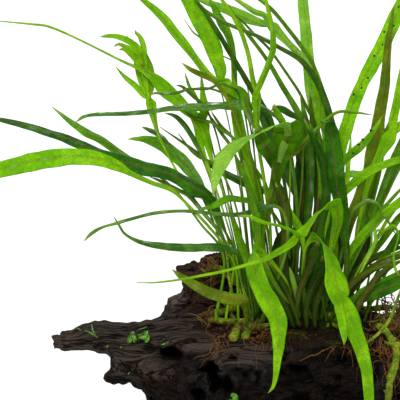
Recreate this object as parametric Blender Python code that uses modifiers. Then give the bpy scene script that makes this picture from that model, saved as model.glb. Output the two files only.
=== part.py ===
"""Java fern grown onto a piece of driftwood.

The driftwood stands on a flat underside at the origin, with its left arm toward -X and the clump of
fern over its middle. Fronds are laid out on an upright picture sheet, seen a little from above from
the front, and each is then set back or forward of that sheet until it clears its neighbours.
"""

import math
from collections import namedtuple

import bmesh
import bpy
from mathutils import Matrix, Vector, noise
from mathutils.bvhtree import BVHTree

MM = 0.001
GAP = 0.3

# The picture sheet: where the eye stands, how far it looks down, and the point that it looks at.
EYE_DISTANCE = 900.0
EYE_TILT = math.radians(9.0)
SHEET_CENTRE = Vector((-55.0, 0.0, 122.5))
SIGHT = Vector((0.0, math.cos(EYE_TILT), -math.sin(EYE_TILT)))
SHEET_UP = Vector((0.0, math.sin(EYE_TILT), math.cos(EYE_TILT)))
EYE = SHEET_CENTRE - EYE_DISTANCE * SIGHT

# Fronds
BLADE_THICKNESS = 0.7
LEAST_WIDTH = 0.9
STALK_SPACING = 21.0
BLADE_SPACING = 15.0
FRAME_STEP = 1.5
FACING_PULL = 0.12
CHANNEL = 0.12
LEAST_SHOWN = 0.62

# Rhizomes
RHIZOME_RADIUS = 1.7
RHIZOME_STEP = 7.0

# Driftwood
WOOD_VOXEL = 3.6
WOOD_FACES = 1800
BED_HEIGHT = 59.0
MAT_THICKNESS = 1.3

# Rounded blocks that the driftwood grew as: (place, size, turn about Y, turn about Z), mm and degrees.
WOOD_BLOCKS = [
    ((-86, -8, 40.5), (38, 44, 18), 6, 0),
    ((-53, -6, 31), (54, 70, 54), 4, 0),
    ((-22, -2, 29), (62, 90, 60), 0, 3),
    ((20, -4, 29), (64, 92, 60), 0, -4),
    ((56, -2, 28), (52, 78, 57), -3, 4),
    ((78, -4, 28), (34, 56, 44), -8, 0),
    ((-84, 2, 51), (50, 38, 13), 3, 2),
    ((-109, 1, 50.5), (36, 30, 11), -2, 4),
    ((-121, -1, 50), (22, 20, 10), 3, 12),
    ((-129, -5, 48.5), (8, 8, 6), 0, 0),
    ((-50, 27, 50), (50, 38, 34), 4, 0),
    ((-49, 24, 70), (34, 34, 30), -4, 0),
    ((-36, 28, 76), (34, 28, 25), 4, 10),
    ((-24, 35, 67), (38, 32, 38), 16, 0),
    ((4, 38, 52), (44, 24, 24), 10, 0),
    ((96, -6, 35), (44, 40, 30), -12, 0),
    ((116, -9, 44), (32, 28, 20), -24, -6),
    ((131, -11, 52), (24, 16, 12), -34, -8),
    ((40, -44, 17), (44, 30, 34), 0, -12),
    ((-8, -42, 20), (40, 24, 38), 0, 6),
    ((-30, 40, 16), (50, 26, 32), 0, 8),
    ((58, 34, 16), (46, 26, 32), 0, -14),
]

# Hollows rotted into the wood: (place, radius, depth), mm.
WOOD_HOLLOWS = [
    ((-70, -38, 46), 13, 9),
    ((-53, -46, 32), 13, 10),
    ((-40, -48, 26), 10, 8),
    ((-98, -24, 40), 9, 4),
    ((-62, 8, 70), 6, 5),
    ((10, -50, 30), 14, 7),
    ((60, -44, 30), 13, 7),
    ((-60, 44, 34), 14, 8),
    ((20, 48, 30), 16, 9),
    ((84, 28, 26), 10, 6),
]

# Where the driftwood forks: (name, point on the cut, direction toward the branch).
WOOD_FORKS = [
    ("driftwood_stump", (-40, 20, 62.5), (-0.1, 0.5, 1.0)),
    ("driftwood_left_arm", (-97, 0, 46.5), (-0.8, 0.0, 0.6)),
    ("driftwood_right_arm", (86, -4, 36), (0.95, 0.0, 0.3)),
]

# Creeping stems, end to end: points in mm.
RHIZOMES = {
    "rhizome_front": [(-40, -37, 63.5), (-34, -32, 63.5), (-25, -27, 63.5), (-10, -23, 63.5),
                      (6, -21, 63.5), (22, -22, 63.5), (36, -25, 63.5), (46, -30, 63.5)],
    "rhizome_middle": [(-51, -13, 64), (-42, -13, 63.5), (-30, -11, 63), (-14, -5, 63), (4, -3, 63),
                       (22, -3, 63), (38, -2, 63), (50, 2, 63)],
    "rhizome_back": [(-51, 3.5, 89), (-44, 2, 86.5), (-37, 1.5, 81), (-30, 3, 74), (-22, 7, 67),
                     (-10, 10, 64.5), (8, 14, 64), (26, 15, 64), (44, 16, 64)],
    "rhizome_right": [(31, -33, 66), (35, -41, 64), (38, -50, 60), (37, -60, 53), (34, -66, 44),
                      (33, -67, 36)],
}

Frond = namedtuple("Frond", "name foot tip_depth roll stalk prongs tint")

# Each frond: its name, its foot (rhizome and place along X), how far its tip lies behind the sheet, how
# far its blade is rolled away from the eye (degrees), its stalk up to the fork, and its prongs. Points
# are (across, up, width) on the sheet in mm, from the foot to the tip; a fourth value is a depth.
FRONDS = [
    Frond("frond_front_drooper", ("rhizome_front", -12), -66, 18, [
        (-10, 77.5, 1.8, -22), (-19, 91.5, 2.5, -34), (-26, 97, 4.5, -43), (-29.3, 95, 7, -50)], [[
            (-27.5, 88.5, 8, -56), (-24, 78.5, 8.5, -60), (-20, 71, 9), (-16, 63.5, 8.5), (-15.5, 56.5, 7),
            (-15.5, 50, 5.5), (-16.3, 42.5, 3.8), (-17, 35, 2.5), (-18.5, 29, 1.5),
            (-21, 26, 0.6)]], "bright"),
    Frond("frond_front_drooper_lobed", ("rhizome_front", 0), -78, -16, [
        (-3, 77.5, 1.8, -20), (-3.5, 91.5, 1.8, -30), (-1, 101, 2.4, -38), (4, 103, 5.5, -46),
        (9, 97, 8, -55), (11.3, 88.5, 8.8, -60), (13, 78.5, 10.5, -65)], [
            [(14, 72, 4.5), (15.5, 63.5, 4), (17, 55, 3), (17, 50, 1.2)],
            [(18.8, 67, 7.5), (22, 57.5, 7.5), (25.5, 47.5, 6.5), (28, 38.5, 5.5), (29, 30, 5),
             (29.5, 22.5, 4.5), (29, 14, 3), (27.5, 7, 0.8)]], "bright"),
    Frond("frond_front_folded", ("rhizome_front", 7.5), -58, 24, [
        (6, 77, 1.8, -14), (9, 92, 2.2, -16), (12.5, 105, 4, -22), (14, 114, 5.5, -28),
        (12.5, 119.5, 6.5, -35), (6, 117.5, 7, -41), (0, 110.5, 7, -46), (-5, 104, 6.5, -49)], [
            [(-10, 107.5, 1.6), (-15, 109.3, 2), (-22.5, 111, 3), (-30, 114, 2.2), (-36, 114.5, 0.6)],
            [(-12, 98.5, 4.5), (-22.5, 93, 2.2), (-32.5, 89.8, 1.5), (-42.5, 87, 1.3), (-55, 84.5, 1.2),
             (-65, 82.7, 1), (-77.5, 81.2, 0.8), (-86.8, 81.3, 0.4)]], "bright"),
    Frond("frond_front_broad", ("rhizome_front", 11), -40, -25, [
        (17.5, 80, 2, -20), (18, 97.5, 3.5, -28), (16, 112, 6, -34), (15, 121, 7), (13.5, 130, 7.8)], [[
            (12.5, 140, 8), (11.5, 150, 7.5, -42), (10, 159.5, 5.5, -45), (7.5, 161.5, 3, -50),
            (6, 156.5, 0.8, -53)]],
        "dark"),
    Frond("frond_left_long_pale", ("rhizome_middle", -36), -24, 30, [
        (-37, 88, 1.8), (-44, 101, 1.8), (-50, 108.5, 2), (-55, 114, 2), (-60, 119, 2), (-65, 124, 2)], [[
            (-70, 128, 2.2), (-80, 131.5, 2.2), (-90, 136, 2.8), (-95, 139, 5), (-105, 143, 7),
            (-115, 144.3, 7.5), (-125, 144, 9), (-135, 142.5, 9), (-145, 140.5, 8.5), (-155, 138, 8),
            (-164, 136.8, 5), (-172, 136, 0.8)]],
        "bright"),
    Frond("frond_left_long_dark", ("rhizome_middle", -30), 12, 38, [
        (-31, 84, 1.8), (-39, 100, 1.8), (-44, 110, 2.2), (-50, 123.5, 5), (-57.5, 128.5, 7.5)], [[
            (-62.5, 131.5, 7), (-70, 135.5, 6.5), (-80, 138, 7), (-95, 142, 7), (-105, 146, 5),
            (-120, 152.5, 4.5), (-130, 156, 4), (-137.5, 158.5, 3.5), (-145, 160.5, 3),
            (-155, 162.8, 2.2), (-168, 165.5, 0.8)]], "dark"),
    Frond("frond_top_forked_broad", ("rhizome_back", -22), 8, -20, [
        (-18, 90, 1.8), (-22.5, 112.5, 2), (-29, 137.5, 2.6), (-33.5, 155, 3.6), (-36.5, 166.5, 4.2),
        (-40, 174, 5), (-43, 181, 7)], [
            [(-47, 182.5, 2.6), (-52.5, 187, 3.5), (-57.5, 193.5, 3.5), (-62.5, 200, 4.5),
             (-67.5, 206, 4.5), (-72.5, 212.5, 4.5), (-77.5, 217.5, 3.8), (-83.5, 222.5, 2.5),
             (-91, 229.5, 0.6)],
            [(-44.5, 187.5, 5.5), (-46.5, 192.5, 7), (-49, 200, 8.5), (-52.5, 207.5, 8.5), (-56, 213.5, 8),
             (-60, 220, 6.5), (-65, 226.5, 3.2), (-69, 231.5, 0.8)]], "bright"),
    Frond("frond_centre_three_pronged", ("rhizome_front", -18), 6, 16, [
        (-22, 80, 1.6, -22), (-24, 94.5, 1.8, -24), (-23, 107.5, 2.2, -24), (-21, 116.5, 3.5),
        (-19, 125, 4.5), (-17, 133.5, 5.5), (-15.5, 141, 8)], [
            [(-20, 148.5, 3.6), (-24, 156, 3.3), (-29, 162.5, 3.6), (-32, 170, 4.4), (-33, 175, 4.2),
             (-35.5, 178.5, 2.4), (-40, 179.5, 0.6)],
            [(-13.5, 148, 3.4, -22), (-11, 155, 3.2, -26), (-12, 159.3, 3.2, -32), (-18, 159.5, 4.4, -38),
             (-26, 155.5, 6, -43), (-32.5, 152, 6.6, -47), (-40, 146, 6.8, -51), (-44.5, 140, 5.6, -53),
             (-47.3, 132.5, 3.6, -55), (-48.5, 124.5, 0.8, -56)],
            [(-10.5, 144.5, 3.2), (-3.5, 150.5, 3), (5, 159.5, 2), (13.5, 166.3, 1.6), (22.5, 166.3, 1.4),
             (31, 165, 0.6)]], "bright"),
    Frond("frond_right_dotted", ("rhizome_back", 12), 34, -30, [
        (13, 84, 1.8), (15, 112.5, 2.2), (15, 132.5, 3.6), (15.5, 147.5, 5.2)], [[
            (17.5, 157.5, 6.5), (21, 168.5, 6.5), (25, 178.5, 6.5), (28, 185, 7), (32.5, 193.5, 7.5),
            (36, 200, 7.5), (38.5, 205, 7), (44, 216.5, 7.5), (49, 226.5, 5.5),
            (53, 235.5, 0.8)]], "bright"),
    Frond("frond_left_forked_crest", ("rhizome_middle", -42), 16, 30, [
        (-38, 92, 1.5), (-44, 104.5, 1.5), (-52.5, 116, 1.5), (-60, 126, 1.5), (-67.5, 138.5, 1.6),
        (-73, 149, 1.8), (-77, 159, 2.5), (-79.5, 171, 5.5)], [
            [(-83, 175, 2.8), (-87, 179.5, 3), (-92.5, 184, 2), (-97, 189, 0.8)],
            [(-83.5, 181.5, 4.2), (-85.3, 189, 4.5), (-86.5, 196, 4), (-91.5, 204.5, 0.9)],
            [(-79, 180.5, 3.2), (-79.5, 188.5, 2.6), (-82, 195, 1.8), (-86, 204, 0.8)]], "bright"),
    Frond("frond_left_tall_forked", ("rhizome_back", -34), 22, 32, [
        (-31, 92, 1.5), (-36, 108, 1.5), (-42, 123, 1.6), (-48, 139, 2), (-51.5, 152, 4.2),
        (-54, 159.5, 8)], [
            [(-60, 166.5, 5), (-66, 172.5, 6.5), (-72.5, 178.5, 7.5), (-79, 184.5, 4.5), (-86, 188.5, 2),
             (-95, 192.5, 1.2), (-115, 202.5, 1), (-130, 209, 1.2), (-140, 210.5, 1), (-162, 212.5, 0.4)],
            [(-52.5, 167.5, 4.5), (-53.5, 175.5, 2.8), (-54.5, 186, 0.6)]], "bright"),
    Frond("frond_left_flat_wet", ("rhizome_middle", -10), 4, 60, [
        (-7, 84, 2), (-6, 110, 2), (-8, 135, 2), (-11, 152, 2), (-15, 162, 2.2)], [[
            (-20, 166.5, 2.5), (-27.5, 169.8, 4.6), (-42.5, 170, 5.2), (-60, 169.2, 4.4), (-70, 168.3, 3),
            (-80, 167, 2.6), (-90, 166, 2.6), (-105, 165.6, 2.4), (-112.5, 164.5, 1.8),
            (-117, 161.5, 0.8)]], "wet"),
    Frond("frond_left_low_yellow", ("rhizome_front", -32), -30, 26, [
        (-32.5, 71.5, 5, -34)], [[
            (-40, 73, 6), (-50, 76, 5.4), (-57.5, 80, 4.6), (-64, 84, 3.2), (-69, 87.8, 0.8)]], "yellow"),
    Frond("frond_left_low_dark", ("rhizome_middle", -20), -22, 42, [
        (-17, 80, 1.8), (-24, 90.5, 2), (-32, 95, 2.6)], [[
            (-42.5, 98.3, 3.6), (-50, 99, 4), (-60, 98.8, 4), (-72.5, 99.5, 3.5), (-82.5, 101, 2.5),
            (-88.5, 103, 1.4), (-93, 106, 1), (-95.5, 110, 0.9), (-98, 114, 0.5)]], "wet"),
    Frond("frond_left_wiry", ("rhizome_front", -25), -28, 62, [
        (-15, 86, 1.8, -24), (-11, 102, 1.8), (-12.5, 114.5, 1.8), (-17, 119.3, 2)], [[
            (-24, 118.8, 3), (-32.5, 116, 3), (-40, 115.5, 2.6), (-55, 116.5, 1.6), (-65, 117, 1.2),
            (-77.5, 116, 1.5), (-90, 113, 1.8), (-97, 110.8, 1.2), (-103.5, 109, 1), (-109, 106, 1.5),
            (-113, 102, 0.7)]], "wet"),
    Frond("frond_left_wavy", ("rhizome_middle", -14), -14, 50, [
        (-10, 90, 1.8), (-13, 106, 1.8), (-19.5, 117, 2)], [[
            (-27.5, 121.5, 2.6), (-35, 123, 3), (-41, 123.5, 3.4), (-46, 121, 3.4), (-50, 119, 2.2),
            (-55.5, 118, 0.9)]], "mid"),
    Frond("frond_left_middle", ("rhizome_middle", -47), 30, 42, [
        (-43, 94, 1.5), (-55, 111, 1.5), (-67.5, 127.5, 1.5), (-80, 137.5, 2)], [[
            (-91, 143.5, 3), (-98, 148, 3.6), (-105, 153, 4), (-112, 156.5, 4), (-120, 162, 2.6),
            (-129, 169, 0.7)]],
        "mid"),
    Frond("frond_left_slim_high", ("rhizome_back", -44), 18, 50, [
        (-47, 108, 1.2), (-54, 124, 1.2), (-62, 137.5, 1.3), (-69, 148, 1.5)], [[
            (-72.5, 152.5, 2.2), (-76, 155.5, 2.6), (-80, 157.5, 2.2), (-84, 159, 0.6)]], "wet"),
    Frond("frond_left_slim_dark", ("rhizome_middle", -4), 20, 45, [
        (-8, 92.5, 1.8), (-13, 114, 2), (-21, 126, 3)], [[
            (-30, 130, 4), (-37.5, 133.5, 4), (-47, 138.5, 2.8), (-55, 145, 1.6), (-62.5, 150.5, 1.2),
            (-75, 159, 0.6)]], "dark"),
    Frond("frond_top_left_small", ("rhizome_back", -28), -12, 40, [
        (-21, 92, 1.5), (-25, 120, 1.5), (-29, 140, 1.5), (-35, 157.5, 1.5)], [[
            (-41, 172.5, 1.6), (-46.5, 180.5, 2), (-50, 183.3, 2.4), (-55, 185.5, 2.6), (-60, 188, 2),
            (-64, 191, 0.7)]],
        "yellow"),
    Frond("frond_top_strap", ("rhizome_back", -16), 30, -32, [
        (-12, 84, 1.8), (-16, 104, 1.8), (-21.5, 128.5, 1.8), (-24.5, 134, 2), (-30, 143, 2.2),
        (-35, 157.5, 3), (-37.5, 167, 4)], [[
            (-37.8, 177.5, 3.2), (-38, 190, 2.9), (-39, 198, 3.2), (-41, 205, 4), (-44, 210.5, 4.6),
            (-48, 218.5, 2.8), (-51, 225, 0.8)]], "mid"),
    Frond("frond_top_forked_slim", ("rhizome_middle", -24), -16, 35, [
        (-20, 90, 1.8), (-20, 110, 2), (-23, 132.5, 2.2), (-25.3, 147, 2.3), (-26.5, 163, 3),
        (-26.5, 173.5, 5)], [
            [(-28.3, 182, 2.4), (-30.5, 194, 2.1), (-34, 205.5, 2), (-38.5, 214.5, 1.9), (-44, 222.5, 1.5),
             (-48, 228.5, 0.6)],
            [(-24.5, 181, 3), (-22, 187, 3.1), (-19.8, 193, 3), (-18.3, 199, 3.1), (-19, 209, 2.2),
             (-22, 222, 1.6), (-24, 229.5, 0.6)]], "bright"),
    Frond("frond_top_forked_blue", ("rhizome_back", 3), 40, -22, [
        (4, 80, 1.8), (7.5, 107.5, 2), (9.5, 137.5, 2.2), (9, 165, 2.4), (4, 183, 3), (-1, 191, 3.6),
        (-6, 196, 3.6), (-12, 202, 3.8), (-18, 208.5, 6)], [
            [(-24.5, 211, 4), (-33, 214, 6), (-41, 217.5, 5), (-51, 221, 3), (-61, 224.5, 0.6)],
            [(-22.5, 214.5, 3), (-27.5, 216.5, 3), (-32, 219.5, 2.5), (-38, 223.5, 1.6),
             (-43, 227.5, 0.6)]], "pale"),
    Frond("frond_top_fringed", ("rhizome_middle", 12), 14, 48, [
        (9, 87.5, 1.8), (13, 117.5, 2), (13.5, 142.5, 2.8), (11.5, 159, 3.2)], [[
            (8.5, 170, 3.6), (4, 181, 3.2), (-1, 188.5, 2.6), (-6, 193.5, 2.2), (-15, 198.7, 2.1),
            (-25, 204, 1.9), (-35, 208, 1.6), (-45, 212.5, 1.6), (-58.5, 221.5, 1.1),
            (-67, 227, 0.5)]], "dark"),
    Frond("frond_top_upright", ("rhizome_back", 8), 52, 30, [
        (5, 84, 1.8), (4, 104, 2.4), (3.5, 124, 3.2)], [[
            (3.5, 144, 4.2), (2.6, 162.5, 5), (1.2, 172.5, 5.2), (0, 182.5, 6), (-0.6, 192.5, 6),
            (-2, 207.5, 6), (-2.8, 215, 5.6), (-3.6, 224, 5), (-4, 233.5, 3.6), (-3.5, 243, 0.8)]], "pale"),
    Frond("frond_top_long_slim", ("rhizome_back", -4), 16, -55, [
        (2, 82, 1.8), (6, 107.5, 1.8), (9, 142.5, 1.8), (8, 167.5, 2), (5.5, 178, 2.1)], [[
            (1, 191, 2.1), (-5, 200, 2.2), (-11.5, 208.5, 2.2), (-19, 217.5, 2), (-25, 222.5, 1.6),
            (-32, 228.5, 0.6)]],
        "mid"),
    Frond("frond_top_long_glossy", ("rhizome_back", -10), 6, 55, [
        (-7, 86, 1.8), (-10, 112.5, 1.8), (-14, 137.5, 2), (-19, 157.5, 2.2)], [[
            (-24, 168.5, 2.3), (-28.5, 177, 2.6), (-34, 186.5, 2.7), (-40, 196.5, 2.6), (-46, 206.5, 2.5),
            (-52.5, 217, 2.1), (-56.5, 221.5, 1.6), (-62, 228.5, 0.6)]], "dark"),
    Frond("frond_top_middle_slim", ("rhizome_middle", 4), 26, -50, [
        (-1, 90, 1.8), (0, 112, 1.8), (0, 130, 2), (-1, 150, 2.4)], [[
            (-4, 161.5, 3), (-8, 169.5, 3.1), (-14, 179.3, 2.6), (-20, 190, 2.1), (-26, 198.7, 1.7),
            (-32, 206.5, 1.6), (-36, 212.5, 1.3), (-41, 220.5, 0.5)]], "mid"),
    Frond("frond_centre_dark_upright", ("rhizome_middle", 0), -24, -38, [
        (-2, 77, 2), (2, 92, 3.4)], [[
            (6, 110, 4.2), (8, 125, 4.6), (6.5, 140, 4.6), (2, 152.5, 3.4), (-3, 163, 0.8)]], "dark"),
    Frond("frond_centre_dark_right", ("rhizome_front", 3.5), -30, 32, [
        (1.5, 76, 3.4, -24)], [[
            (4, 84, 5.2), (7, 93, 5.2), (9.5, 101, 5), (12, 112, 4.4), (13, 122.5, 3.2),
            (12, 133, 0.8)]], "dark"),
    Frond("frond_centre_dark_left", ("rhizome_front", -6), -30, -30, [
        (-12.5, 73, 2.2, -22), (-18, 81, 2.6, -25)], [[
            (-22.5, 90, 2.8), (-25.5, 99, 2.8), (-26.5, 110, 3.2), (-29, 121, 3.2), (-32.5, 134, 2.6),
            (-37, 145, 0.8)]], "mid"),
    Frond("frond_centre_tall_dark", ("rhizome_middle", -27), 34, 38, [
        (-13, 80, 1.8), (-8.5, 96, 3)], [[
            (-6.5, 110, 3.8), (-6, 127.5, 4.6), (-4, 147.5, 4.6), (-5.5, 163.5, 3.4),
            (-9, 174, 0.8)]], "dark"),
    Frond("frond_centre_short", ("rhizome_front", -3), -20, -25, [
        (-3.5, 84, 1.8), (-3, 97, 2.2)], [[
            (-5.5, 108.5, 3.6), (-11, 115.5, 5), (-14.5, 121.5, 4.6), (-16.5, 127.5, 2.8),
            (-18, 134, 0.8)]], "bright"),
    Frond("frond_right_tall_yellow", ("rhizome_middle", 20), 24, 25, [
        (15, 80, 1.8), (17.5, 97.5, 2.6)], [[
            (21, 114, 5), (26, 125, 7.2), (29.5, 135, 7), (31.5, 145, 7.2), (33.5, 155, 7.3),
            (35, 165, 6.2), (37.5, 180, 5.2), (38.5, 192.5, 4.2), (39.2, 201, 3.5), (40.5, 210, 2.2),
            (42, 220, 0.8)]], "yellow"),
    Frond("frond_right_forked", ("rhizome_middle", 26), 0, -28, [
        (20, 82, 1.8), (23, 103, 2), (27, 123, 2.6), (31.5, 138, 3.4), (36, 147, 5), (39, 153, 7.5)], [
            [(41.5, 162, 4.4), (43.2, 171, 4), (44.7, 182, 2.5), (46, 192.5, 0.6)],
            [(45, 159.5, 4), (52.5, 165.5, 4.2), (62.5, 170.5, 2.8), (71, 171.5, 0.6)]], "bright"),
    Frond("frond_right_dotted_short", ("rhizome_middle", 8), -34, 35, [
        (7, 82, 1.8), (10, 102.5, 1.9), (12.5, 125, 2.2)], [[
            (15.5, 139, 3.2), (20, 144.5, 3.8), (24, 148, 4.2), (28, 152, 3.4), (33.5, 159.5, 1.8),
            (36, 164.5, 0.6)]],
        "bright"),
    Frond("frond_right_arching", ("rhizome_middle", 16), -40, -45, [
        (9, 84, 1.8), (8, 105, 2), (11.5, 119, 3)], [[
            (17, 126.5, 3.6), (21, 130.3, 3.8), (25, 134, 4.2), (30, 137.3, 4.2), (36, 140, 3.8),
            (45, 143, 3.4), (55, 144.5, 2.6), (65, 143.5, 0.6)]], "bright"),
    Frond("frond_right_low_arching", ("rhizome_front", 18), -44, -38, [
        (17, 78, 1.8)], [[
            (18.5, 92, 2.6), (21.5, 99, 3.6), (27.5, 106, 4.6), (34, 112.8, 4.2), (38, 116.5, 3.8),
            (46, 122.5, 4.2), (58, 130.5, 4.6), (71, 134.5, 4), (86, 133.5, 0.6)]], "bright"),
    Frond("frond_right_slim", ("rhizome_middle", 23), -46, -50, [
        (21, 78.5, 2)], [[
            (27.5, 90, 2.6), (34, 99.5, 2.8), (41.5, 110, 3.2), (47, 116, 3.6), (56, 122.5, 3.6),
            (68, 127.5, 3), (81, 127, 0.6)]], "mid"),
    Frond("frond_right_two_low", ("rhizome_front", 14.5), -30, -42, [
        (19, 76, 1.8), (28, 86, 1.8), (37, 93, 2)], [[
            (46, 96.5, 2.4), (60, 101, 4.6), (75, 102, 5.6), (90, 98, 4.6), (104, 90, 0.8)]], "mid"),
    Frond("frond_right_low_broad", ("rhizome_front", 22), -54, -30, [
        (25, 72, 4, -34)], [[
            (33, 76, 6), (42.5, 80.5, 6.2), (52, 85.5, 5.4), (64, 91.5, 3.4), (76, 96, 0.8)]], "dark"),
    Frond("frond_far_right_long", ("rhizome_back", 24.5), 22, -36, [
        (26, 84, 2), (36, 108, 2.2), (53, 132, 3)], [[
            (70, 148, 5.5), (92, 158, 8), (112, 160.5, 8.5), (132, 155.5, 7), (150, 146, 0.8)]], "bright"),
    Frond("frond_far_right_dark", ("rhizome_middle", 29.5), -20, -40, [
        (31, 81, 1.8), (44, 103, 2.2), (60, 122, 3.4)], [[
            (78, 135, 6), (100, 140.5, 7.5), (122, 137, 6.5), (141, 127, 0.8)]], "dark"),
    Frond("frond_far_right_low", ("rhizome_front", 26), -62, -34, [
        (34, 76, 1.8), (52, 91, 2.6)], [[
            (70, 99.5, 6), (88, 99.5, 7.4), (106, 92, 6.4), (121, 79, 0.8)]], "bright"),
    Frond("frond_far_right_upright", ("rhizome_back", 20.5), 38, 30, [
        (25, 95, 1.8), (40, 130, 2.8)], [[
            (54, 160, 5), (64, 186, 7), (69, 205, 6.4), (70, 219, 4), (69, 231, 0.8)]], "mid"),
    Frond("frond_far_right_forked", ("rhizome_middle", 33.5), 18, -30, [
        (38, 86, 1.8), (58, 112, 2.4), (77, 132, 6)], [
            [(90, 148, 4.8), (101, 164, 4.4), (108, 178, 2.6), (112, 188, 0.6)],
            [(97, 139.5, 5), (118, 146, 4.4), (139, 144, 0.6)]], "bright"),
    Frond("frond_back_left", ("rhizome_back", -39), 78, 36, [
        (-40, 93, 1.8, 6), (-43, 103, 1.8, 14), (-51, 122, 3)], [[
            (-61, 139, 6.5), (-72, 149, 6.5), (-82, 153, 4), (-91, 153, 0.8)]], "mid"),
    Frond("frond_back_middle", ("rhizome_back", 16), 74, -40, [
        (8, 90, 1.8), (-4, 118, 3)], [[
            (-14, 143, 6.5), (-21, 160, 7), (-26, 172, 4.5), (-31, 181, 0.8)]], "dark"),
    Frond("frond_back_arching", ("rhizome_back", 28.5), 92, 20, [
        (30, 88, 1.8, 32), (30, 114, 3, 50)], [[
            (27, 131, 6.5, 66), (22, 137, 7.5, 78), (17, 134, 6, 88), (13, 124, 0.8, 96)]], "bright"),
    Frond("frond_back_low", ("rhizome_back", 32.5), 72, -36, [
        (38, 78, 1.8, 34), (54, 91, 3, 46)], [[
            (70, 95, 6.5), (84, 89, 5.6), (96, 76, 0.8)]], "mid"),
]

LEAF_COLOURS = {
    "bright": (0.26, 0.60, 0.03),
    "yellow": (0.36, 0.58, 0.03),
    "mid": (0.12, 0.40, 0.02),
    "dark": (0.04, 0.20, 0.01),
    "pale": (0.38, 0.63, 0.19),
    "wet": (0.20, 0.42, 0.16),
}


def clear_scene():
    for found in list(bpy.data.objects):
        bpy.data.objects.remove(found, do_unlink=True)


def plain_material(name, colour, roughness):
    material = bpy.data.materials.new(name)
    material.use_nodes = True
    shader = material.node_tree.nodes["Principled BSDF"]
    shader.inputs["Base Color"].default_value = (*colour, 1.0)
    shader.inputs["Roughness"].default_value = roughness
    material.diffuse_color = (*colour, 1.0)
    return material


def add_object(name, data, material, collection):
    made = bpy.data.objects.new(name, data)
    made.data.materials.append(material)
    collection.objects.link(made)
    return made


def smooth_curve(points, count):
    """Points evenly spaced along a smooth curve through the given ones, with whatever else they carry."""
    ends = [points[0] * 2 - points[1]] + points + [points[-1] * 2 - points[-2]]
    fine = []
    for before, start, end, after in zip(ends, ends[1:], ends[2:], ends[3:]):
        for step in range(12):
            t = step / 12
            fine.append(0.5 * (2 * start + (end - before) * t
                               + (2 * before - 5 * start + 4 * end - after) * t * t
                               + (3 * start - before - 3 * end + after) * t ** 3))
    fine.append(points[-1])
    travelled = [0.0]
    for a, b in zip(fine, fine[1:]):
        travelled.append(travelled[-1] + (b - a).to_3d().length)
    result = []
    index = 0
    for step in range(count + 1):
        target = travelled[-1] * step / count
        while index < len(fine) - 2 and travelled[index + 1] < target:
            index += 1
        span = max(travelled[index + 1] - travelled[index], 1e-9)
        result.append(fine[index].lerp(fine[index + 1], (target - travelled[index]) / span))
    return result


def curve_length(points):
    return sum((b - a).to_3d().length for a, b in zip(points, points[1:]))


def to_sheet(place):
    """Where a point in space is seen on the picture sheet, and its depth behind it."""
    away = place - SHEET_CENTRE
    depth = away.dot(SIGHT)
    spread = (EYE_DISTANCE + depth) / EYE_DISTANCE
    return away.x / spread + SHEET_CENTRE.x, away.dot(SHEET_UP) / spread + SHEET_CENTRE.z, depth


def from_sheet(across, up, depth):
    spread = (EYE_DISTANCE + depth) / EYE_DISTANCE
    return (SHEET_CENTRE + (across - SHEET_CENTRE.x) * spread * Vector((1, 0, 0))
            + (up - SHEET_CENTRE.z) * spread * SHEET_UP + depth * SIGHT)


# Rhizomes

def rhizome_path(name):
    points = [Vector(point) for point in RHIZOMES[name]]
    return smooth_curve(points, max(6, round(curve_length(points) / RHIZOME_STEP)))


def build_rhizome(name, material, collection):
    path = rhizome_path(name)
    curve = bpy.data.curves.new(name, "CURVE")
    curve.dimensions = "3D"
    curve.bevel_depth = RHIZOME_RADIUS * MM
    curve.bevel_resolution = 1
    curve.use_fill_caps = True
    spline = curve.splines.new("POLY")
    spline.points.add(len(path) - 1)
    for index, (point, place) in enumerate(zip(spline.points, path)):
        point.co = (*(place * MM), 1.0)
        point.radius = 0.75 if index in (0, len(path) - 1) else 1.0
    return add_object(name, curve, material, collection)


def foot_place(foot):
    """The top of a rhizome at a place along X, where a stalk leaves it."""
    name, across = foot
    path = rhizome_path(name)
    for a, b in zip(path, path[1:]):
        if min(a.x, b.x) <= across <= max(a.x, b.x):
            along = (b - a).normalized()
            lift = Vector((0, 0, 1)) - along * along.z
            return a.lerp(b, (across - a.x) / (b.x - a.x)) + lift.normalized() * (RHIZOME_RADIUS + 3 * GAP)
    raise ValueError(f"no {name} at {across}")


# Fronds

def with_depths(points, foot_depth, tip_depth):
    """Fill in the depths that a run of (across, up, width[, depth]) points leaves out."""
    known = [(0, foot_depth)] + [(i, p[3]) for i, p in enumerate(points) if len(p) > 3 and i > 0]
    if known[-1][0] != len(points) - 1:
        known.append((len(points) - 1, tip_depth))
    travelled = [0.0]
    for a, b in zip(points, points[1:]):
        travelled.append(travelled[-1] + math.hypot(b[0] - a[0], b[1] - a[1]))
    depths = []
    for (first, near), (last, far) in zip(known, known[1:]):
        for i in range(first, last):
            share = (travelled[i] - travelled[first]) / max(travelled[last] - travelled[first], 1e-9)
            depths.append(near + (far - near) * share)
    depths.append(known[-1][1])
    return depths


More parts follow.
